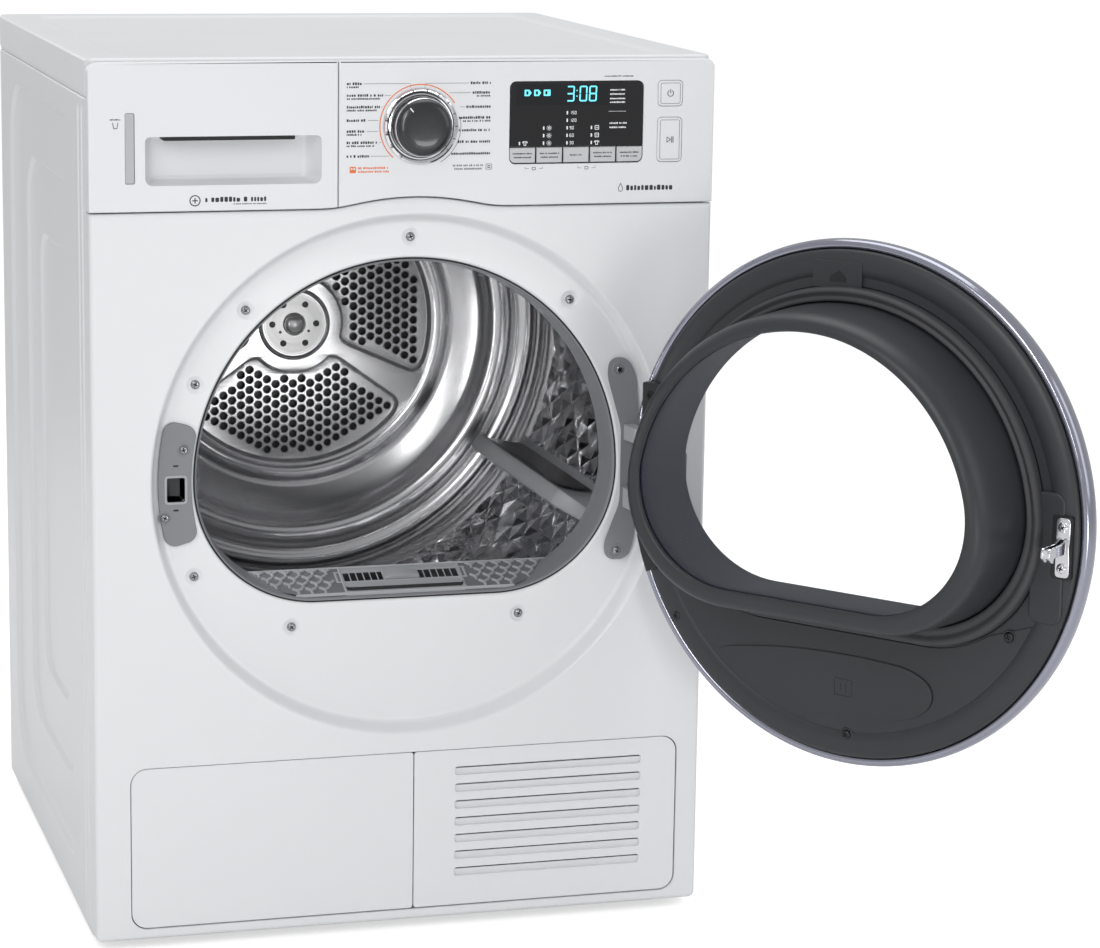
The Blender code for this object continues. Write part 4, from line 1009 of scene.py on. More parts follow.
def make_knob():
    """The bright bezel with its ticks, and the programme knob."""
    bezel = Shape()
    profile = ((0.0285, -0.0002), (0.0287, -0.0022), (0.0296, -0.003), (0.0308, -0.0026), (0.0322, -0.0034),
               (0.034, -0.0036), (0.0354, -0.0028), (0.036, -0.0014), (0.036, -0.0002))
    bezel.lathe(profile, KNOB, 144)
    for number in range(14):
        degrees = 236 - number * 22 if number < 7 else 236 - (number + 0.7) * 20.2
        bezel.slab(tick(KNOB, degrees, 0.0325, 0.035, 0.0004), -0.0039, -0.002, 0.0, mark=1)
    # The four white marks glow faintly: painted light.
    for start in (150, 172, 194, 216):
        mark = sector(KNOB, 0.0328, 0.0346, start, start + 15, 0.0003, 0.001)
        bezel.slab(mark, -0.0038, -0.002, 0.0, mark=2)
    bezel.make("knob_bezel_ring", [CHROME, PRINT, WHITE_PRINT_PAINTED_GLOW], "cabinet", "chrome", ["knob_bezel"])

    knob = Shape()
    profile = ((0.0275, -0.0008), (0.0277, -0.003), (0.0276, -0.008), (0.0272, -0.012), (0.0264, -0.015),
               (0.025, -0.0172), (0.0228, -0.0188), (0.0195, -0.0197), (0.015, -0.0202), (0.009, -0.0204),
               (0.004, -0.0205), (0.0, -0.0205))
    knob.lathe(profile, KNOB, 144)
    knob.lathe(((0.0275, -0.0008), (0.0056, -0.0008), (0.0055, 0.013), (0.0, 0.013)), KNOB, 144)
    bright_line = ((0.0274, -0.0122), (0.02755, -0.0134), (0.0268, -0.0146), (0.0262, -0.014))
    knob.lathe(bright_line, KNOB, 144, mark=1)
    # The knob's white pointer glows faintly: painted light.
    knob.slab(tick(KNOB, KNOB_MARK, 0.019, 0.0235, 0.0005), -0.02, -0.017, 0.0, mark=2)
    knob.make("program_knob_cap", [KNOB_BLACK, CHROME, WHITE_PRINT_PAINTED_GLOW], "knob", "black_gloss", ["program_knob"])


def make_drawer_front():
    """The left part of the fascia: the water drawer's front with its grip pocket."""
    front = Shape()
    edge = rounding(fascia_outline(-HALF, DRAWER_EDGE - 0.0004, (0.0006, 0.009)), 0.0, FASCIA_DEPTH, 0.0016)
    front.loops(edge)
    grip = rounded(-0.248, 0.734, -0.083, 0.779, (0.005, 0.005, 0.007, 0.007))
    inner = rounded(-0.236, 0.738, -0.095, 0.7775, 0.004)
    pocket = []
    for share in np.linspace(0, 1, 12):
        depth = 0.025 * math.sin(math.pi / 2 * share) ** 1.4
        pocket.append(at(mix(grip, inner, share ** 1.6), depth))
    pocket.append(at(inset(inner, 0.003), 0.0258))
    window = rounded(-0.2665, 0.736, -0.2575, 0.801, 0.0016)
    sill = rounding(window, 0.0, 0.0015, -0.0004, 2)
    front.cup(pocket)
    front.loops(sill)
    front.fill([edge[0], at(grip, 0.0), sill[0]])
    # A near-black strip along the top of the grip pocket: painted shade in the slot there.
    slot = rounded(-0.231, 0.7752, -0.108, 0.7792, 0.001)
    front.slab(slot, 0.0008, 0.02, 0.0002, mark=1)
    front.slab(inset(window, 0.0003), 0.0005, 0.004, 0.0006, mark=2)
    front.make("drawer_front_skin", [MOULDED, SHADOW, WINDOW_GREY], "water_drawer", "white_plastic",
               ["drawer_front"])

    print_marks = Shape()
    worded(print_marks, -0.28, 0.7945, -0.2705, 0.0015, 151)
    cup = np.array([(-0.2778, 0.7925), (-0.2768, 0.7868), (-0.2733, 0.7868), (-0.2723, 0.7925),
                    (-0.2729, 0.7925), (-0.2738, 0.7874), (-0.2763, 0.7874), (-0.2772, 0.7925)])
    print_marks.slab(cup, PRINT_FRONT, 0.0, 0.0)
    flake = circle((-0.202, 0.72), 0.0052, 32)
    print_marks.slab(flake, PRINT_FRONT, 0.0, 0.0, [inset(flake, 0.001)])
    bar(print_marks, -0.2046, 0.7195, -0.1994, 0.7205)
    bar(print_marks, -0.2025, 0.7174, -0.2015, 0.7226)
    worded(print_marks, -0.1925, 0.7185, -0.135, 0.0048, 152)
    worded(print_marks, -0.166, 0.7158, -0.135, 0.0014, 153, mark=1)
    print_marks.make("drawer_print", [PRINT, PRINT_SOFT], "water_drawer", "black_gloss")


# --- Loading mouth ----------------------------------------------------------------------------

def make_throat():
    """The grey lining of the opening, with painted shade where it meets the front sheet."""
    throat = Shape()
    rolled = ((0.0012, 0.0212), (0.0006, 0.0206), (-0.0006, 0.0203), (-0.0014, 0.0206), (-0.0022, 0.0216),
              (-0.0028, 0.0236), (-0.0031, 0.027))
    loops = [at(mouth(THROAT, grow), y) for grow, y in rolled]
    outer = mouth(THROAT, -0.0031)
    inner = mouth(THROAT_INNER, 0.0)
    for share, y in ((0.3, 0.032), (0.6, 0.041), (0.85, 0.05), (1.0, 0.06)):
        loops.append(at(mix(outer, inner, share), y))
    loops.append(at(inset(inner, -0.0012), 0.062))
    loops.append(at(mouth(THROAT, 0.0), 0.062))
    loops.append(at(mouth(THROAT, 0.0), 0.0214))
    # The rolled edge against the front sheet takes SHADOW: painted shade in the crease.
    throat.loops(loops[:3], mark=1)
    throat.loops(loops[2:])
    throat.make("throat_skin", [GREY, SHADOW], "cabinet", "grey_plastic", ["opening_throat"])


GRILLE_FRONT = (0.0245, 0.3372)
GRILLE_BACK = (0.062, 0.352)
SLOT_LEFT, SLOT_RIGHT = -0.052, 0.066


def shelf(x, share, lift=0.0):
    """A point on the sloping shelf, share of the way back, lift above it."""
    y = GRILLE_FRONT[0] + (GRILLE_BACK[0] - GRILLE_FRONT[0]) * share
    z = GRILLE_FRONT[1] + (GRILLE_BACK[1] - GRILLE_FRONT[1]) * share
    return (x, y, z + lift)


def shelf_half(share):
    """Half the shelf's width, where it meets the mouth's curved side."""
    z = shelf(0, share)[2]
    return 0.086 + math.sqrt(max((z - 0.3355) * 0.3, 0.0)) + 0.012 * share


def shelf_ridge(shape, start, end, width, tall):
    """A low ridge with a rounded top between two (x, share) places on the shelf."""
    along = Vector(shelf(*end)) - Vector(shelf(*start))
    side = along.cross(Vector((0, -0.37, 0.93))).normalized() * width / 2
    up = Vector((0, -0.37, 0.93)).normalized()
    rows = []
    for place in (start, end):
        base = Vector(shelf(*place, -0.0008))
        section = ((-1, 0.0), (-0.8, tall + 0.0004), (-0.3, tall + 0.0008), (0.3, tall + 0.0008),
                   (0.8, tall + 0.0004), (1, 0.0))
        rows.append([base + side * across + up * rise for across, rise in section])
    shape.loops([np.array(row) for row in rows])
    shape.fill([np.array(rows[0])])
    shape.fill([np.array(rows[1])])


def make_grille():
    """A sloping shelf under the mouth with a pattern of three-armed ribs either side of the filter, its top
    darker than the ribs as painted shade for the openings between them.
    """
    grille = Shape()
    steps = np.linspace(0, 1, 9)
    for left, right in ((-1, SLOT_LEFT), (SLOT_RIGHT, 1)):
        rows = []
        for share in steps:
            low = RING[0] - shelf_half(share) if left == -1 else SLOT_RIGHT
            high = RING[0] + shelf_half(share) if right == 1 else SLOT_LEFT
            rows.append(np.array([shelf(x, share) for x in np.linspace(low, high, 24)]))
        # The shelf's top takes the darker floor colour: painted shade between the ribs.
        grille.loops(rows, closed=False, mark=1)
        below = [row + np.array([0, 0, -0.003]) for row in rows]
        grille.loops([rows[0], below[0]], closed=False)
        grille.loops([rows[-1], below[-1]], closed=False)
        grille.loops(below, closed=False)
    for near, far in ((0.0, 0.4), (0.86, 1.0)):
        rows = [np.array([shelf(x, share) for x in np.linspace(SLOT_LEFT, SLOT_RIGHT, 24)])
                for share in (near, far)]
        sunk = [row + np.array([0, 0, -0.004]) for row in rows]
        grille.loops([sunk[0], *rows, sunk[1]], closed=False)
    lip = ((-0.0012, 0.0), (-0.0007, 0.0012), (-0.0008, 0.0018), (0.0003, 0.0012), (0.0008, 0.0))
    grille.loops([np.array([(x, GRILLE_BACK[0] + behind, shelf(x, 1, lift)[2])
                            for x in np.linspace(-0.15, 0.163, 60)]) for behind, lift in lip], closed=False)
    pitch = 0.0132
    for row in range(4):
        share = 0.14 + 0.25 * row
        shift = pitch / 2 if row % 2 else 0.0
        for column in range(-13, 15):
            x = RING[0] + column * pitch + shift
            if SLOT_LEFT - 0.008 < x < SLOT_RIGHT + 0.008 or abs(x - RING[0]) > shelf_half(share) - 0.009:
                continue
            middle = (x, share)
            shelf_ridge(grille, middle, (x, share - 0.12), 0.0028, 0.0018)
            shelf_ridge(grille, middle, (x - 0.0048, share + 0.095), 0.0028, 0.0018)
            shelf_ridge(grille, middle, (x + 0.0048, share + 0.095), 0.0028, 0.0018)
    for x in (SLOT_LEFT, SLOT_RIGHT):
        shelf_ridge(grille, (x, 0.0), (x, 1.0), 0.003, 0.001)
    grille.make("lint_grille_skin", [PALE, GRILLE_FLOOR_PAINTED_SHADE], "cabinet", "light_grey_plastic", ["lint_grille"])


def make_filter():
    """The top of the lint filter between the two halves of the shelf: a raised grip, two pockets with
    painted shade on their floors, and a near-black well of painted shadow below.
    """
    low, high = local_box("lint_filter")
    middle = (low.x + high.x) / 2
    frame_path = rounded(low.x, low.y, high.x, high.y, 0.003)
    body = Shape(FROM_ABOVE)
    for top, bottom, edge in ((-0.3415, -0.325, 0.001), (-0.215, -0.2005, 0.001)):
        body.slab(frame_path, top, bottom, edge)
    for x in np.linspace(low.x + 0.004, high.x - 0.004, 6):
        post = rounded(x - 0.0025, low.y + 0.001, x + 0.0025, high.y - 0.001, 0.0008, 3)
        body.slab(post, -0.326, -0.214, 0.0)
    mesh_path = rounded(low.x + 0.003, high.y - 0.004, high.x - 0.003, high.y - 0.003, 0.0003, 2)
    body.slab(mesh_path, -0.326, -0.214, 0.0, mark=1)
    rows = []
    for share in np.linspace(0, 1, 14):
        x = middle - 0.017 + 0.034 * share
        bow = math.sin(math.pi * share)
        rows.append(np.array([(x, 0.042, 0.3445), (x, 0.042 - 0.001 * bow, 0.3462 + 0.001 * bow),
                              (x, 0.044, 0.348 + 0.0012 * bow), (x, 0.054, 0.3492 + 0.0022 * bow),
                              (x, 0.0552, 0.348 + 0.0022 * bow), (x, 0.0552, 0.3445)]))
    for start in range(len(rows) - 1):
        body.add(np.concatenate((rows[start], rows[start + 1])) @ np.array(FROM_ABOVE)[:3, :3],
                 [(k, (k + 1) % 6, 6 + (k + 1) % 6, 6 + k) for k in range(6)])
    for row in (rows[0], rows[-1]):
        body.add(row @ np.array(FROM_ABOVE)[:3, :3], [tuple(range(6))])
    body.make("lint_filter_skin", [PALE, DARK], "filter", "grey_plastic", ["lint_filter"])

    # The two pockets get black floors under pale ribs: painted shade in the pockets.
    cap = Shape()
    near, far = 0.43, 0.84
    for left, right in ((low.x + 0.003, middle - 0.0165), (middle + 0.0165, high.x - 0.003)):
        cap.loops([np.array([shelf(x, share, -0.001) for x in (left, right)]) for share in (near, far)],
                  closed=False, mark=1)
        for x in np.linspace(left, right, 8):
            wide = 0.003 if x in (left, right) else 0.001
            shelf_ridge(cap, (x, near), (x, far), wide, 0.0004)
    cap.loops([np.array([shelf(x, share, 0.001) for x in (middle - 0.0165, middle + 0.0165)])
               for share in (near, far)], closed=False)
    for share in (near, far):
        shelf_ridge(cap, (low.x + 0.002, share), (high.x - 0.002, share), 0.002, 0.0006)
    cap.make("lint_filter_cap", [PALE, BLACK], "filter", "grey_plastic")

    # A near-black well below the filter's top: painted shadow.
    outline = rounded(SLOT_LEFT + 0.001, 0.026, SLOT_RIGHT - 0.001, 0.0612, 0.004)
    well = Shape(FROM_ABOVE)
    well.loops([at(outline, -0.3415), at(inset(outline, 0.001), -0.33)])
    well.fill([at(inset(outline, 0.001), -0.33)])
    well.make("filter_well_painted_shadow", SHADOW, "cabinet", "dark_plastic")


def make_bulkhead_plate():
    """The plastic ring behind the mouth, so that no bare sheet shows between throat and drum."""
    plate = Shape()
    rings = ((0.0032, 0.0345), (0.0045, 0.042), (0.03, 0.045), (0.034, 0.044))
    plate.loops([at(mouth(THROAT, grow), y) for grow, y in rings])
    plate.make("bulkhead_ring", GREY, "cabinet", "grey_plastic")


# --- Drum -------------------------------------------------------------------------------------

WALL_RAISED, WALL_FLOOR = 0.54, 0.547
RIBS = (-30, 90, 210)
HOLE_RIM = ((0.005, 0.0), (0.0046, -0.0007), (0.0041, -0.001), (0.0037, -0.0005), (0.0035, 0.0022))


def hole_places(outline, pitch, margin, turn):
    """A triangular grid of points that lie inside outline with margin to spare."""
    room = inset(outline, margin)
    ahead = np.roll(room, -1, 0)
    places = []
    for row in range(-26, 27):
        for column in range(-26, 27):
            u, v = pitch * (column + 0.5 * (row % 2)), pitch * row * math.sqrt(3) / 2
            x = DRUM[0] + u * math.cos(turn) - v * math.sin(turn)
            z = DRUM[1] + u * math.sin(turn) + v * math.cos(turn)
            crossing = (room[:, 1] > z) != (ahead[:, 1] > z)
            rise = np.where(ahead[:, 1] == room[:, 1], 1.0, ahead[:, 1] - room[:, 1])
            edge = room[:, 0] + (z - room[:, 1]) / rise * (ahead[:, 0] - room[:, 0])
            if np.count_nonzero(crossing & (x < edge)) % 2:
                places.append((x, z))
    return places


def make_drum_wall():
    """The drum's back: three perforated sectors between ribs with painted shade behind their holes, a rolled
    rim, and the hub.
    """
    wall = Shape()
    profile = (
        (0.157, WALL_RAISED), (0.1585, 0.5394), (0.161, 0.5378), (0.1645, 0.5372), (0.168, 0.5376),
        (0.171, 0.539), (0.1735, 0.5415), (0.1755, 0.5436), (0.1785, 0.544), (0.183, 0.5424),
        (0.195, 0.5372), (0.205, 0.5322), (0.21, 0.5288), (0.2135, 0.524), (0.2165, 0.5195),
        (0.2205, 0.516), (0.2255, 0.514), (0.2305, 0.5134), (0.2355, 0.514), (0.24, 0.516),
        (0.2435, 0.5188), (0.2465, 0.5206), (0.25, 0.5208), (0.2535, 0.5192), (0.257, 0.5176),
        (0.2605, 0.5174), (0.264, 0.5188), (0.267, 0.5222), (0.2692, 0.5262), (0.2702, 0.529),
    )
    wall.lathe(profile, DRUM, 240)
    wall.lathe(((0.2702, 0.529), (0.2702, 0.5535), (0.26, 0.5545), (0.1, 0.556), (0.012, 0.556),
                (0.0095, 0.56), (0.0095, 0.596), (0.008, 0.598), (0.0, 0.598)), DRUM, 96)
    sectors = []
    for rib in RIBS:
        sectors.append(sector(DRUM, 0.052, 0.1555, rib + 6.0, rib + 114.0, 0.015, 0.003))
    hub_edge = circle(DRUM, 0.04, 120)
    wall.fill([at(circle(DRUM, 0.157, 240), WALL_RAISED), at(hub_edge, WALL_RAISED),
               *[at(path, WALL_RAISED) for path in sectors]])
    for number, path in enumerate(sectors):
        wall.loops(slope(path, 0.0045, WALL_RAISED, WALL_FLOOR, 7))
        floor = inset(path, 0.0045)
        places = hole_places(path, 0.0112, 0.01, math.radians(RIBS[number]))
        rims = []
        for place in places:
            rim = [at(circle(place, radius, 14), WALL_FLOOR + depth) for radius, depth in HOLE_RIM]
            wall.loops(rim)
            rims.append(rim[0])
        wall.fill([at(floor, WALL_FLOOR), *rims])
        # A black disc a little behind each sector: painted shade seen through its holes.
        wall.fill([at(inset(path, 0.004), WALL_FLOOR + 0.006)], mark=2)
    hub = ((0.04, WALL_RAISED), (0.0394, 0.5392), (0.0389, 0.5376), (0.038, 0.5368), (0.0371, 0.5374),
           (0.0364, 0.5398), (0.0358, 0.5412), (0.035, 0.54), (0.0345, 0.54))
    wall.lathe(hub, DRUM, 120)
    bolts = around(DRUM, 0.0245, range(-60, 300, 60))
    pins = around(DRUM, 0.018, (-27, -151))
    seats = [at(circle(place, 0.0036, 24), 0.54) for place in bolts]
    small = [at(circle(place, 0.0016, 16), 0.54) for place in pins]
    boss = circle(DRUM, 0.0125, 64)
    wall.fill([at(circle(DRUM, 0.0345, 120), 0.54), at(boss, 0.54), *seats, *small], mark=1)
    for place in bolts:
        wall.lathe(((0.0036, 0.54), (0.0034, 0.5412), (0.0027, 0.5412), (0.0023, 0.5398), (0.0, 0.5396)),
                   place, 24, mark=2)
    for place in pins:
        wall.lathe(((0.0016, 0.54), (0.0014, 0.5415), (0.0, 0.5415)), place, 16, mark=2)
    wall.lathe(((0.0125, 0.54), (0.0124, 0.5378), (0.0118, 0.5364), (0.011, 0.5362), (0.0102, 0.5372),
                (0.0098, 0.5384), (0.0094, 0.5376), (0.0084, 0.5366), (0.006, 0.5358), (0.003, 0.5354),
                (0.0, 0.5353)), DRUM, 64, mark=1)
    wall.make("drum_wall_skin", [SPUN, HUB_STEEL, BLACK], "drum", "stainless",
              ["drum_rear_wall"], smooth=40)


FACET_FRONT, FACET_BACK = 0.098, 0.452
SHELL_INNER, SHELL_OUTER = 0.2716, 0.274


def rolled_bead(start):
    """A bead rolled into the shell, from y = start forwards."""
    return [(SHELL_INNER - 0.0022 * math.sin(math.pi * step / 8) ** 2, start - 0.01 * step / 8)
            for step in range(9)]


def make_drum_shell():
    """The drum's round wall: plain beads at both ends and pyramids pressed between them."""
    shell = Shape()
    rear = [(0.2702, 0.529), (SHELL_INNER, 0.5275)]
    for middle in (0.515, 0.488, 0.472):
        rear += rolled_bead(middle + 0.005)
    rear.append((SHELL_INNER, FACET_BACK))
    shell.lathe(rear, DRUM, 240)
    front = [(SHELL_INNER, FACET_FRONT)]
    front += rolled_bead(0.093)
    front += [(0.2708, 0.08), (0.268, 0.076), (0.262, 0.073), (0.248, 0.069), (0.245, 0.068),
              (0.244, 0.067), (0.2445, 0.0662), (0.248, 0.066), (0.264, 0.069), (0.272, 0.0735),
              (SHELL_OUTER, 0.079), (SHELL_OUTER, 0.555), (0.272, 0.556), (0.2705, 0.555),
              (0.2702, 0.529)]
    shell.lathe(front, DRUM, 240)
    shell.make("drum_shell_skin", SPUN, "drum", "stainless", ["drum_shell"])

    facets = Shape()
    order = np.random.default_rng(4)
    columns, rows = 64, 15
    depths = np.linspace(FACET_FRONT, FACET_BACK, rows + 1)
    corners = np.zeros((rows + 1, columns, 3))
    for row in range(rows + 1):
        for column in range(columns):
            angle = 2 * math.pi * (column + 0.5 * (row % 2)) / columns
            edge = row in (0, rows)
            radius = SHELL_INNER - (0.0 if edge else order.uniform(0.0, 0.0005))
            y = depths[row] + (0.0 if edge else order.uniform(-0.0015, 0.0015))
            x, z = DRUM[0] + radius * math.cos(angle), DRUM[1] + radius * math.sin(angle)
            corners[row, column] = (x, y, z)
    for row in range(rows):
        for column in range(columns):
            after = (column + 1) % columns
            if row % 2 == 0:
                triangles = ((corners[row, column], corners[row, after], corners[row + 1, column]),
                             (corners[row, after], corners[row + 1, after], corners[row + 1, column]))
            else:
                triangles = ((corners[row, column], corners[row, after], corners[row + 1, after]),
                             (corners[row, column], corners[row + 1, after], corners[row + 1, column]))
            for triangle in triangles:
                share = order.dirichlet((14, 14, 14))
                peak = sum(weight * corner for weight, corner in zip(share, triangle))
                inward = np.array([DRUM[0] - peak[0], 0.0, DRUM[1] - peak[2]])
                peak = peak + inward / np.linalg.norm(inward) * order.uniform(0.002, 0.005)
                facets.add([*triangle, peak], [(0, 1, 3), (1, 2, 3), (2, 0, 3)])
    facets.make("drum_facets", FACETED, "drum", "stainless", smooth=None)


LIFTER_LONG, LIFTER_END, LIFTER_FOOT = 0.361, 0.03, 0.269
# Across and radius, from the foot of one flank over the crest to the foot of the other.
LIFTER_SECTION = (
    (-0.0095, LIFTER_FOOT), (-0.006, 0.264), (-0.0045, 0.256), (-0.0045, 0.244), (-0.005, 0.23),
    (-0.0085, 0.2215), (-0.0098, 0.217), (-0.0085, 0.2142), (-0.004, 0.2132), (0.004, 0.2132),
    (0.0076, 0.2145), (0.0088, 0.218), (0.0094, 0.226), (0.015, 0.244), (0.0225, 0.259),
    (0.029, 0.265), (0.032, LIFTER_FOOT),
)


def make_lifters():
    """Three paddles along the drum: a pale blade with rounded ends, dark in its upper flank."""
    lengths = np.concatenate((
        np.linspace(0, LIFTER_END, 7), np.linspace(0.06, 0.3, 5),
        np.linspace(LIFTER_LONG - LIFTER_END, LIFTER_LONG, 7),
    ))
    for number, angle in enumerate((-33, 87, 207), start=1):
        turn = math.radians(angle)
        out = np.array((math.cos(turn), math.sin(turn)))
        side = np.array((-math.sin(turn), math.cos(turn)))
        low = 0.106
        rows = []
        for length in lengths:
            reach = min(length, LIFTER_LONG - length)
            share = 1.0 if reach >= LIFTER_END else math.sin(math.pi / 2 * (reach / LIFTER_END)) ** 0.8
            row = []
            for across, radius in LIFTER_SECTION:
                lean = LIFTER_FOOT - (LIFTER_FOOT - radius) * max(share, 0.02)
                squeeze = across * (0.55 + 0.45 * share) if radius < 0.26 else across
                spot = out * lean + side * squeeze
                row.append((DRUM[0] + spot[0], low + length, DRUM[1] + spot[1]))
            rows.append(np.array(row))
        paddle = Shape()
        paddle.loops(rows)
        paddle.fill([rows[0]])
        paddle.fill([rows[-1]])
        flank = []
        for length in (0.05, 0.056, 0.305, 0.311):
            shrink = 0.1 if length in (0.05, 0.311) else 0.0
            row = []
            for across, radius in ((0.0094, 0.22), (0.023, 0.258)):
                radius = radius + shrink * (0.009 if radius < 0.24 else -0.009)
                spot = out * (radius - 0.0009) + side * (across + 0.0009)
                row.append((DRUM[0] + spot[0], low + length, DRUM[1] + spot[1]))
            flank.append(np.array(row))
        paddle.loops(flank, closed=False, mark=1)
        node = f"lifter_{number}"
        paddle.make(f"{node}_skin", [PALE, BLACK], "drum", "light_grey_plastic", [node])


# --- Door, drawn shut: its inner face looks towards +y ------------------------------------------

DOOR_FACE = 0.005
NOTCH = (0.2125, 0.397, 0.505)
NOTCH_FRONT = -0.028


def notched(outline):
    """The outline of a ring of points with the hinge's notch cut in, its corners square."""
    left, low, high = NOTCH
    moved = outline.copy()
    inside = (moved[:, 0] > left) & (moved[:, 1] > low) & (moved[:, 1] < high)
    if not inside.any():
        return moved
    upper = int(np.argmin(inside))
    lower = len(inside) - int(np.argmin(inside[::-1])) - 1
    moved[inside, 0] = left
    for number, step, level in ((upper, -1, high), (lower, 1, low)):
        moved[number, 1] = level
        moved[(number + step) % len(moved)] = (left, level)
    return moved


def door_spot(e, z):
    """A place on the door's inner face: e from the middle towards the latch, z up, in millimetres."""
    return RING[0] - e / 1000, RING[1] + z / 1000


def door_outline(points, reach):
    return eased([door_spot(*point) for point in points][::-1], reach / 1000)


def make_door_frame():
    """The dark inner frame of the door, and the plug that reaches into the opening."""
    frame = Shape()
    profile = (
        (0.23, -0.005), (0.2372, -0.0046), (0.238, -0.003), (0.238, 0.0015), (0.2374, 0.0036),
        (0.2352, 0.0054), (0.231, 0.0066), (0.226, 0.0072), (0.222, 0.0073), (0.2185, 0.0069),
        (0.2158, 0.0061), (0.2144, 0.0054), (0.2135, 0.005),
    )
    rings = [at(notched(circle(RING, radius)), y) for radius, y in profile]
    frame.loops(rings)
    groove = mouth(SEAL_OUTER, 0.0008)
    floor = 0.0024
    frame.loops([at(groove, DOOR_FACE), at(inset(groove, 0.0004), DOOR_FACE - 0.0004),
                 at(inset(groove, 0.0006), floor), at(plug(PLUG_TIP, 0.0022), floor)])
    frame.fill([rings[-1], at(groove, DOOR_FACE)])

    side = ((0.0022, floor), (0.0018, 0.018), (0.001, 0.042), (0.0002, 0.065), (-0.0002, 0.074),
            (-0.0012, 0.08), (-0.003, 0.085), (-0.0056, 0.0882), (-0.0086, 0.09), (-0.011, 0.0906))
    loops = [at(plug(PLUG_TIP, grow), y) for grow, y in side]
    tip, hole = plug(PLUG_TIP, -0.011), plug(PLUG_HOLE, 0.0)
    rim = ((0.5, 0.0908), (0.8, 0.0904), (0.92, 0.0896), (0.98, 0.0884), (1.0, 0.087), (1.0, 0.08))
    loops += [at(mix(tip, hole, share), y) for share, y in rim]
    frame.loops(loops)
    frame.make("door_frame_skin", DARK, "door", "dark_plastic", ["door_frame"], DOOR_OPEN)


def wall_outline(y):
    """The funnel between the window and the outer glass: the window's shape there, a circle at the glass."""
    if y >= 0:
        return plug(PLUG_HOLE, -0.0004 + 0.0074 * (0.078 - y) / 0.078)
    share = -y / 0.0305
    return mix(plug(PLUG_HOLE, 0.007), circle(RING, 0.2085), 1 - (1 - share) ** 1.6)


def make_door_funnel():
    """The lining that runs from the window to the outer glass."""
    funnel = Shape()
    depths = (0.0868, 0.078, *np.linspace(0.07, 0.0, 8), *np.linspace(-0.005, -0.03, 6))
    inner = [at(wall_outline(min(y, 0.078)), y) for y in depths]
    outer = [at(inset(wall_outline(min(y, 0.078)), -0.0016), y) for y in reversed(depths)]
    funnel.loops([*inner, *outer, inner[0]])
    funnel.make("door_funnel", NAVY, "door", "dark_plastic", place=DOOR_OPEN)


def make_door_rim():
    """The silver rim, the outer glass and its border, the inner window, and the seal."""
    rim = Shape()
    cut_profile = (
        (0.23, -0.0262), (0.2375, -0.018), (0.2386, -0.008), (0.2388, -0.004), (0.239, 0.0006),
        (0.2402, 0.0016), (0.2425, 0.0018), (0.2446, 0.001), (0.246, -0.0008), (0.2467, -0.0035),
        (0.247, -0.006),
        (0.2469, -0.009), (0.246, -0.013), (0.244, -0.0175), (0.2408, -0.022), (0.2385, -0.0246),
        (0.235, NOTCH_FRONT),
    )
    loops = [at(notched(circle(RING, radius)), y) for radius, y in cut_profile]
    whole = (
        (0.235, NOTCH_FRONT), (0.231, -0.0306), (0.227, -0.0324), (0.223, -0.0336), (0.22, -0.0342),
        (0.218, -0.0345), (0.2168, -0.0342), (0.2162, -0.033), (0.2155, -0.0308), (0.213, -0.0302),
        (0.2095, -0.0302), (0.2095, -0.0288), (0.22, -0.0284), (0.23, -0.0262),
    )
    loops += [at(circle(RING, radius), y) for radius, y in whole]
    loops.append(loops[0])
    rim.loops(loops)
    rim.make("door_rim_skin", SILVER, "door", "silver_rim", ["door_rim"], DOOR_OPEN)

    glass = Shape()
    dome = (
        (0.0, -0.0388), (0.04, -0.0386), (0.08, -0.0382), (0.12, -0.0374), (0.16, -0.0364), (0.19, -0.0352),
        (0.212, -0.0342), (0.2146, -0.0336), (0.2152, -0.0326), (0.2148, -0.0316), (0.212, -0.0312),
        (0.19, -0.0322), (0.16, -0.0332), (0.12, -0.0342), (0.08, -0.035), (0.04, -0.0354), (0.0, -0.0355),
    )
    glass.lathe(dome, RING, 192)
    glass.make("door_glass_skin", CLEAR, "door", "clear_glass", ["door_outer_glass"], DOOR_OPEN)

    band = Shape()
    band.lathe(((0.2088, -0.0302), (0.2088, -0.0309), (0.212, -0.031), (0.215, -0.0311)), RING, 192)
    band.make("door_glass_border", NAVY, "door", "black_gloss", place=DOOR_OPEN)

    window = Shape()
    window.slab(plug(PLUG_HOLE, -0.0006), 0.085, 0.0812, 0.0006)
    window.make("door_window_skin", CLEAR, "door", "clear_glass", ["door_window"], DOOR_OPEN)

    seal = Shape()
    outer, inner = mouth(SEAL_OUTER), plug(SEAL_INNER)
    profile = (
        (0.0, 0.0055), (0.0, 0.01), (0.03, 0.0128), (0.09, 0.015), (0.18, 0.0163), (0.3, 0.0166),
        (0.42, 0.0158), (0.52, 0.0146), (0.6, 0.0143), (0.7, 0.015), (0.82, 0.0154), (0.92, 0.0148),
        (0.98, 0.0128), (1.0, 0.01), (1.0, 0.0055),
    )
    loops = [at(mix(outer, inner, share), y) for share, y in profile]
    seal.loops([*loops, loops[0]])
    seal.make("door_seal_skin", RUBBER, "door", "rubber", ["door_seal"], DOOR_OPEN)


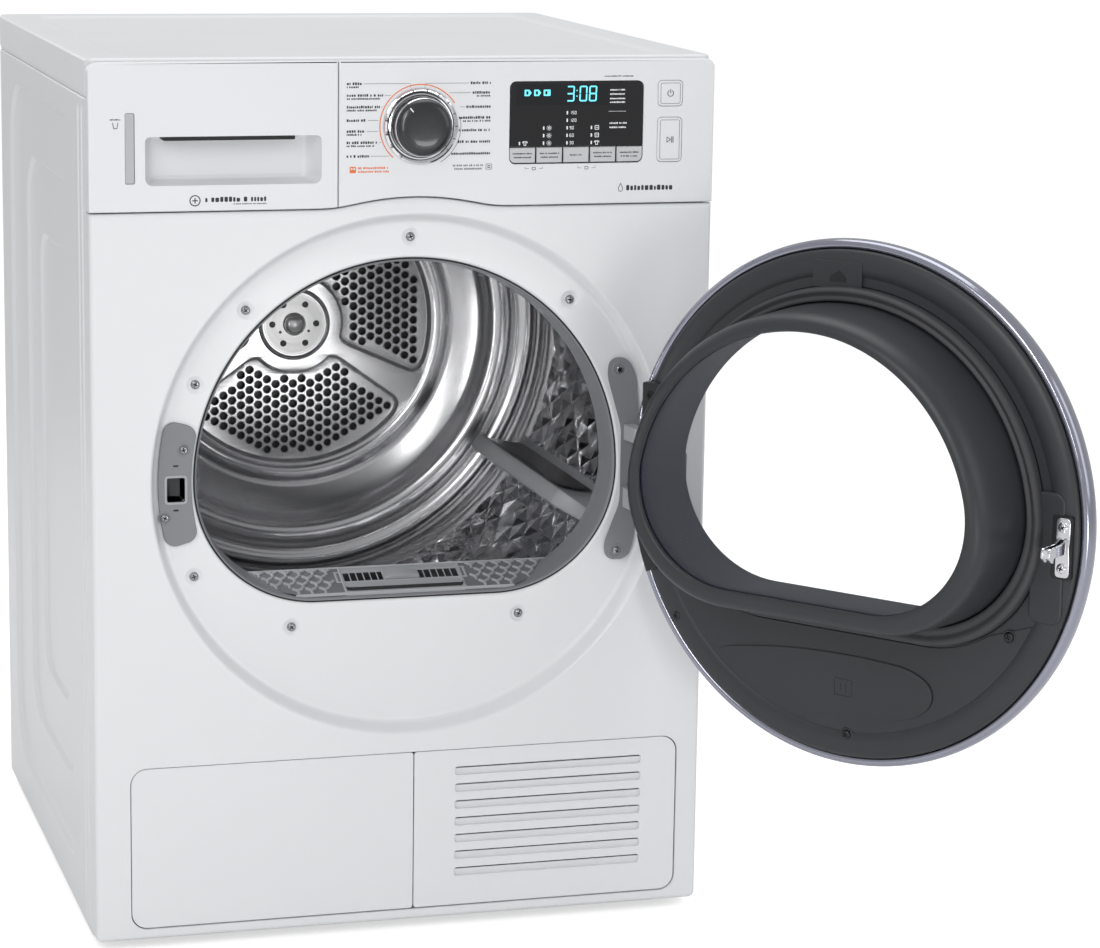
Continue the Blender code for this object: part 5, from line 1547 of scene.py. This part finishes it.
def make_door_details():
    """Raised and sunk shapes on the door's inner face, a black patch of painted shadow round the hook, its
    screws, and the dark blocks by the hinge.
    """
    face = DOOR_FACE
    below = Shape()
    outer = arc(RING, 0.2132, 203, 337, 80)
    seal_edge = mouth(SEAL_OUTER, 0.0022, 720)
    turns = np.degrees(np.arctan2(seal_edge[:, 1] - RING[1], seal_edge[:, 0] - RING[0])) % 360
    inner = seal_edge[(turns > 212) & (turns < 328)][::-1]
    cover = np.concatenate((outer, inner))
    below.slab(cover, face + 0.0011, face - 0.0004, 0.0007)
    leaf = door_outline(
        ((-136, -158), (-100, -151), (-50, -145), (0, -143), (50, -144), (76, -147), (95, -158), (94, -174),
         (74, -187), (30, -196), (0, -198), (-40, -195), (-90, -182), (-124, -167)), 22)
    loops = slope(leaf, 0.0035, face + 0.0009, face + 0.0026, 6)
    below.cup(loops)
    tile = rounded(*door_spot(13, -180), *door_spot(-7, -163), 0.002, 3)
    below.slab(tile, face + 0.0031, face + 0.0024, 0.0003, [inset(tile, 0.0012)])
    for shift in (-0.003, 0.003):
        x, z = door_spot(3, -171.5)
        below.slab(rounded(x + shift - 0.0006, z - 0.004, x + shift + 0.0006, z + 0.004, 0.0004, 2),
                   face + 0.0031, face + 0.0024, 0.0002)
    insert = rounded(*door_spot(9, 201.0), *door_spot(-43, 226.5), (0.002, 0.002, 0.002, 0.002), 3)
    below.slab(insert, face + 0.0032, face - 0.0002, 0.0006)
    arrow = door_outline(((-8, 208), (-24, 208), (-24, 212), (-15, 218), (-8, 212)), 0.8)
    below.slab(arrow, face + 0.0038, face + 0.0024, 0.0003, mark=1)
    pad_x, pad_z = -0.202, local_centre("latch_hook").z - 0.012
    pad = rounded(pad_x - 0.0165, pad_z - 0.06, pad_x + 0.0165, pad_z + 0.06, 0.01, 8)
    below.slab(pad, face + 0.0042, face - 0.001, 0.0024)
    x, z = hook_place()
    # A black patch round the hook plate, a little proud of the pad: painted shadow where the pad has a
    # pocket.
    pocket = rounded(x - 0.0085, z - 0.029, x + 0.0115, z + 0.029, 0.003, 4)
    below.slab(pocket, face + 0.0045, face - 0.001, 0.0002, mark=1)
    below.make("door_face_shapes", [DARK, BLACK], "door", "dark_plastic", place=DOOR_OPEN)

    screws = Shape()
    for number, (e, z) in enumerate(((-185, -132), (8, -216), (174, -96))):
        x, z = door_spot(e, z)
        collar = ((0.0068, face + 0.0012), (0.0062, face + 0.0019), (0.0052, face + 0.0017))
        screws.lathe(collar, (x, z), 32, mark=1)
        screws.screw(x, z, face + 0.0014, 0.0046, 35 * number, 0, 1, 1)
    screws.make("door_screws", [BLACK, DARK], "door", "black_steel", place=DOOR_OPEN)

    blocks = Shape()
    block = rounded(0.2128, 0.5095, 0.233, 0.544, 0.002, 4)
    blocks.slab(block, face + 0.0085, face - 0.002, 0.0014)
    # The block's slot takes SHADOW, painted shade; its screw is drawn in the same near-black.
    slot = rounded(0.2165, 0.513, 0.229, 0.52, 0.001, 3)
    blocks.slab(slot, face + 0.0088, face + 0.008, 0.0002, mark=1)
    blocks.screw(0.2235, 0.532, face + 0.0083, 0.0042, 12, 1, 1, 1)
    strip = np.concatenate((arc(RING, 0.2372, -23, -14, 12), arc(RING, 0.224, -14, -23, 12)))
    blocks.slab(strip, face + 0.0072, face - 0.002, 0.0012)
    blocks.make("door_hinge_blocks", [BLACK, SHADOW], "door", "black_gloss", place=DOOR_OPEN)


def make_hinge():
    """The door's leaf on the pin, and the bracket on the cabinet with its two arms."""
    pin = local_centre("hinge_pin").xy
    leaf = Shape(FROM_ABOVE)
    profile = ((0.0042, -0.434), (0.0085, -0.4336), (0.0098, -0.4344), (0.0102, -0.436), (0.0102, -0.473),
               (0.0098, -0.4746), (0.0085, -0.4754), (0.0042, -0.475), (0.0042, -0.434))
    leaf.lathe(profile, pin, 48)
    strap = rounded(pin[0] - 0.04, pin[1] - 0.001, pin[0] - 0.005, pin[1] + 0.0058, 0.001, 3)
    leaf.slab(strap, -0.4745, -0.4345, 0.0006)
    leaf.make("hinge_leaf_skin", BLACK, "door", "black_gloss", ["hinge_leaf"], DOOR_OPEN)

    outline = eased([
        (0.2065, 0.558), (0.2225, 0.558), (0.231, 0.542), (0.235, 0.5), (0.235, 0.41),
        (0.231, 0.374), (0.2255, 0.36), (0.206, 0.36), (0.203, 0.374), (0.219, 0.415),
        (0.219, 0.49), (0.2035, 0.543),
    ], 0.0085)
    bracket = Shape()
    bracket.slab(outline, 0.0152, 0.0187, 0.0011)
    arm = eased([
        (0.2335, -0.02), (0.224, -0.008), (0.2205, 0.016), (0.23, 0.016), (0.2325, -0.003),
        (0.24, -0.0095),
    ], 0.0022)
    for level_low, level_high in ((0.411, 0.431), (0.478, 0.493)):
        part = Shape(FROM_ABOVE)
        part.slab(arm, -level_high, -level_low, 0.0009)
        knuckle = ((0.0042, -level_high), (0.006, -level_high), (0.0068, -level_high + 0.0008),
                   (0.0068, -level_low - 0.0008), (0.006, -level_low), (0.0042, -level_low),
                   (0.0042, -level_high))
        part.lathe(knuckle, pin, 48)
        bracket.add(part.points, part.faces, 1)
    # The screws' cross recesses take SHADOW: painted shade.
    for number, z in enumerate((0.547, 0.3675)):
        collar = ((0.0078, 0.0152), (0.007, 0.0148), (0.0062, 0.015), (0.0052, 0.0156))
        bracket.lathe(collar, (0.2155, z), 40)
        bracket.screw(0.2155, z, 0.0153, 0.0042, 30 + 40 * number, 2, 3)
    bracket.make("hinge_bracket_skin", [GREY, PALE, SCREW_STEEL, SHADOW], "cabinet", "grey_plastic",
                 ["hinge_bracket"])


def make_lock():
    """The grey cover on the recess floor, its hole for the hook, and the hook on the door."""
    x, z = hook_place()
    hole = rounded(x - 0.0085, z - 0.0115, x + 0.0085, z + 0.0115, 0.0015, 4)
    cover = Shape()
    outline = sector(RING, 0.2105, 0.2425, 165.5, 195.0, 0.011, 0.004)
    cover.slab(outline, 0.0156, 0.0187, 0.001, [hole])
    lip = inset(hole, -0.0024)
    cover.slab(lip, 0.015, 0.0158, 0.0004, [hole], mark=1)
    # The hook's hole is lined and closed in SHADOW: painted shade inside it.
    cover.loops([at(hole, 0.0158), at(hole, 0.0465)], mark=3)
    cover.fill([at(hole, 0.0465)], 3)
    catch = rounded(x - 0.005, z - 0.007, x + 0.005, z + 0.001, 0.0012, 3)
    cover.slab(catch, 0.0442, 0.046, 0.0005)
    # The screws' cross recesses take SHADOW: painted shade.
    for number, (screw_x, screw_z) in enumerate(((-0.211, 0.484), (-0.229, 0.4195))):
        cover.lathe(((0.0066, 0.0156), (0.006, 0.0153), (0.0052, 0.0158)), (screw_x, screw_z), 40)
        cover.screw(screw_x, screw_z, 0.0157, 0.0042, 15 + 50 * number, 2, 3)
    # Two small bars above and below the hole in SHADOW: painted shade.
    for bar_z in (0.469, 0.4265):
        mark = rounded(x - 0.0025, bar_z - 0.0008, x + 0.0025, bar_z + 0.0008, 0.0004, 2)
        cover.slab(mark, 0.0153, 0.0158, 0.0002, mark=3)
    cover.make("lock_cover_skin", [GREY, PALE, SCREW_STEEL, SHADOW, BLACK], "cabinet", "grey_plastic",
               ["lock_cover"])

    hook_x, hook_z = x, z
    face = DOOR_FACE + 0.0003
    hook = Shape()
    base = face + 0.0034
    half = np.array((
        (0.007, -0.027), (0.007, -0.009), (0.006, 0.0), (0.007, 0.009), (0.007, 0.027)
    ))
    corners = np.concatenate((half[:1] * (-1, 1), half, half[:0:-1] * (-1, 1)))
    plate = eased(corners + (hook_x, hook_z), 0.0045)
    hook.slab(plate, base + 0.0026, face, 0.0008)
    cheek = Shape(SIDEWAYS)
    outline = eased(np.array([
        (face + 0.001, -0.005), (0.034, -0.005), (0.035, -0.009), (0.038, -0.009), (0.043, -0.004),
        (0.043, 0.002), (0.04, 0.005), (0.02, 0.005), (0.012, 0.009), (face + 0.001, 0.012),
    ]) + (0.0, hook_z), 0.0016)
    for side in (-0.0043, 0.0021):
        cheek.slab(outline, hook_x + side, hook_x + side + 0.0022, 0.0005)
    hook.add(cheek.points, cheek.faces)
    bridge = rounded(hook_x - 0.004, hook_z - 0.0045, hook_x + 0.004, hook_z + 0.003, 0.001, 3)
    hook.slab(bridge, 0.042, 0.033, 0.0008)
    # The screws' cross recesses take SHADOW: painted shade.
    for number, screw_z in enumerate((hook_z - 0.0185, hook_z + 0.0185)):
        hook.screw(hook_x, screw_z, base + 0.0026, 0.0046, 20 + 35 * number, 0, 1, 1)
    hook.make("latch_hook_skin", [CHROME, SHADOW], "door", "chrome", ["latch_hook"], DOOR_OPEN)


# --- Inside the cabinet -------------------------------------------------------------------------

PLAIN_NODES = {
    "base_moulding": BLACK, "circuit_board": BOARD, "front_bulkhead": GREY, "hinge_pin": CHROME,
    "lock_housing": BLACK, "cover_lock_left": PALE, "cover_lock_right": PALE, "exchanger_cover": GREY,
    "heat_exchanger": ALUMINIUM, "compressor": BLACK_STEEL, "motor": ZINC, "motor_shaft": CHROME,
    "fan_housing": DARK, "fan_impeller": DARK, "rear_crossmember": ZINC, "drive_belt": BLACK_RUBBER,
    "idler_pulley": DARK, "support_roller_left": BLACK_RUBBER, "support_roller_right": BLACK_RUBBER,
    "water_tank": PALE,
}


def paint_plain_nodes():
    """Sub-parts that stand as they are modelled take a material only."""
    for name, look in PLAIN_NODES.items():
        mesh = frame["nodes"][name].data
        mesh.materials.clear()
        mesh.materials.append(look)


# --- Camera, light and floor ----------------------------------------------------------------------

CAMERA_PLACE = Vector((-0.897, -3.2125, 1.0973))
CAMERA_YAW, CAMERA_PITCH, CAMERA_ROLL = 0.287, 0.197, 0.016
LENS, SENSOR_WIDTH = 112.5, 36.0
FLOOR_REACH = 12.0
FLOOR_SHOWN = 0.66
WORLD_LIGHT, WORLD_SHOWN = 0.5, 1.05
# Name, place, what it is aimed at, size and power.
LIGHTS = (
    ("key", (-1.9, -2.4, 2.2), (0.0, 0.0, 0.45), (1.2, 1.2), 19),
    ("fill", (2.2, -1.8, 1.4), (0.1, 0.0, 0.4), (1.4, 1.8), 8),
    ("overhead", (0.2, 0.4, 2.8), (0.0, 0.2, 0.8), (2.0, 2.0), 22),
    ("side", (-1.2, 2.0, 1.5), (-0.42, 0.15, 0.45), (0.5, 1.4), 8),
    ("drum_glint", (-0.75, -1.5, 0.95), (-0.1, 0.3, 0.5), (0.12, 0.9), 4),
    ("drum_lamp", (-0.325, -0.022, 0.46), (0.1, 0.1, 0.42), (0.022, 0.22), 0.25),
    ("drum_front", (0.47, -2.25, 0.17), (-0.12, 0.4, 0.5), (0.6, 0.28), 4),
)


def add_camera():
    """The view from the front left, a little above the fascia."""
    data = bpy.data.cameras.new("camera")
    data.lens = LENS
    data.sensor_width = SENSOR_WIDTH
    camera = bpy.data.objects.new("camera", data)
    bpy.context.scene.collection.objects.link(camera)
    sight = Vector((math.sin(CAMERA_YAW) * math.cos(CAMERA_PITCH),
                    math.cos(CAMERA_YAW) * math.cos(CAMERA_PITCH), -math.sin(CAMERA_PITCH)))
    level = Vector((math.cos(CAMERA_YAW), -math.sin(CAMERA_YAW), 0.0))
    upright = level.cross(sight)
    right = math.cos(CAMERA_ROLL) * level + math.sin(CAMERA_ROLL) * upright
    up = -math.sin(CAMERA_ROLL) * level + math.cos(CAMERA_ROLL) * upright
    turn = Matrix((right, up, -sight)).transposed().to_4x4()
    camera.matrix_world = Matrix.Translation(CAMERA_PLACE) @ turn
    bpy.context.scene.camera = camera


def add_light(name, place, target, size, power):
    data = bpy.data.lights.new(name, "AREA")
    data.shape = "RECTANGLE"
    data.size, data.size_y = size
    data.energy = power
    light = bpy.data.objects.new(name, data)
    bpy.context.scene.collection.objects.link(light)
    light.location = place
    light.rotation_euler = (Vector(target) - Vector(place)).to_track_quat("-Z", "Y").to_euler()


def shown_brighter(tree, socket, light, shown):
    """Sets a strength that is shown to whoever looks, and light to everything the scene lights."""
    seen = node_of(tree, "ShaderNodeLightPath")
    level = node_of(tree, "ShaderNodeMapRange")
    level.inputs["To Min"].default_value = light
    level.inputs["To Max"].default_value = shown
    tree.links.new(seen.outputs["Is Camera Ray"], level.inputs["Value"])
    tree.links.new(level.outputs["Result"], socket)


def add_surroundings():
    """A pale floor, a bright studio all round, and the lamps."""
    floor_mesh = bpy.data.meshes.new("floor")
    corners = [(x * FLOOR_REACH, y * FLOOR_REACH, 0) for x, y in ((-1, -1), (1, -1), (1, 1), (-1, 1))]
    floor_mesh.from_pydata(corners, [], [(0, 1, 2, 3)])
    floor = bpy.data.objects.new("floor", floor_mesh)
    pale = material(
        "floor_pale", (0.9, 0.9, 0.9), 0.7, vary=0.003, rough_vary=0.0, grain=60, bump=0.0, glow=0.5
    )
    floor_mesh.materials.append(pale)
    shader = pale.node_tree.nodes["Principled BSDF"]
    shown_brighter(pale.node_tree, shader.inputs["Emission Strength"], 0.0, FLOOR_SHOWN)
    bpy.context.scene.collection.objects.link(floor)

    world = bpy.data.worlds.new("studio")
    world.use_nodes = True
    tree = world.node_tree
    sky = tree.nodes["Background"]
    sky.inputs["Color"].default_value = (0.98, 0.985, 1.0, 1)
    shown_brighter(tree, sky.inputs["Strength"], WORLD_LIGHT, WORLD_SHOWN)
    bpy.context.scene.world = world
    bpy.context.scene.view_settings.view_transform = "Standard"
    for light in LIGHTS:
        add_light(*light)


def main():
    """Every piece in turn: outside, fascia, mouth, drum, door, and the nodes that only take a material."""
    make_front_panel()
    make_side_panels()
    make_worktop()
    make_rear()
    make_kick()
    make_feet()
    make_control_panel()
    make_fascia_print()
    make_display()
    make_knob()
    make_drawer_front()
    make_throat()
    make_grille()
    make_filter()
    make_bulkhead_plate()
    make_drum_wall()
    make_drum_shell()
    make_lifters()
    make_door_frame()
    make_door_funnel()
    make_door_rim()
    make_door_details()
    make_hinge()
    make_lock()
    paint_plain_nodes()
    add_camera()
    add_surroundings()


main()
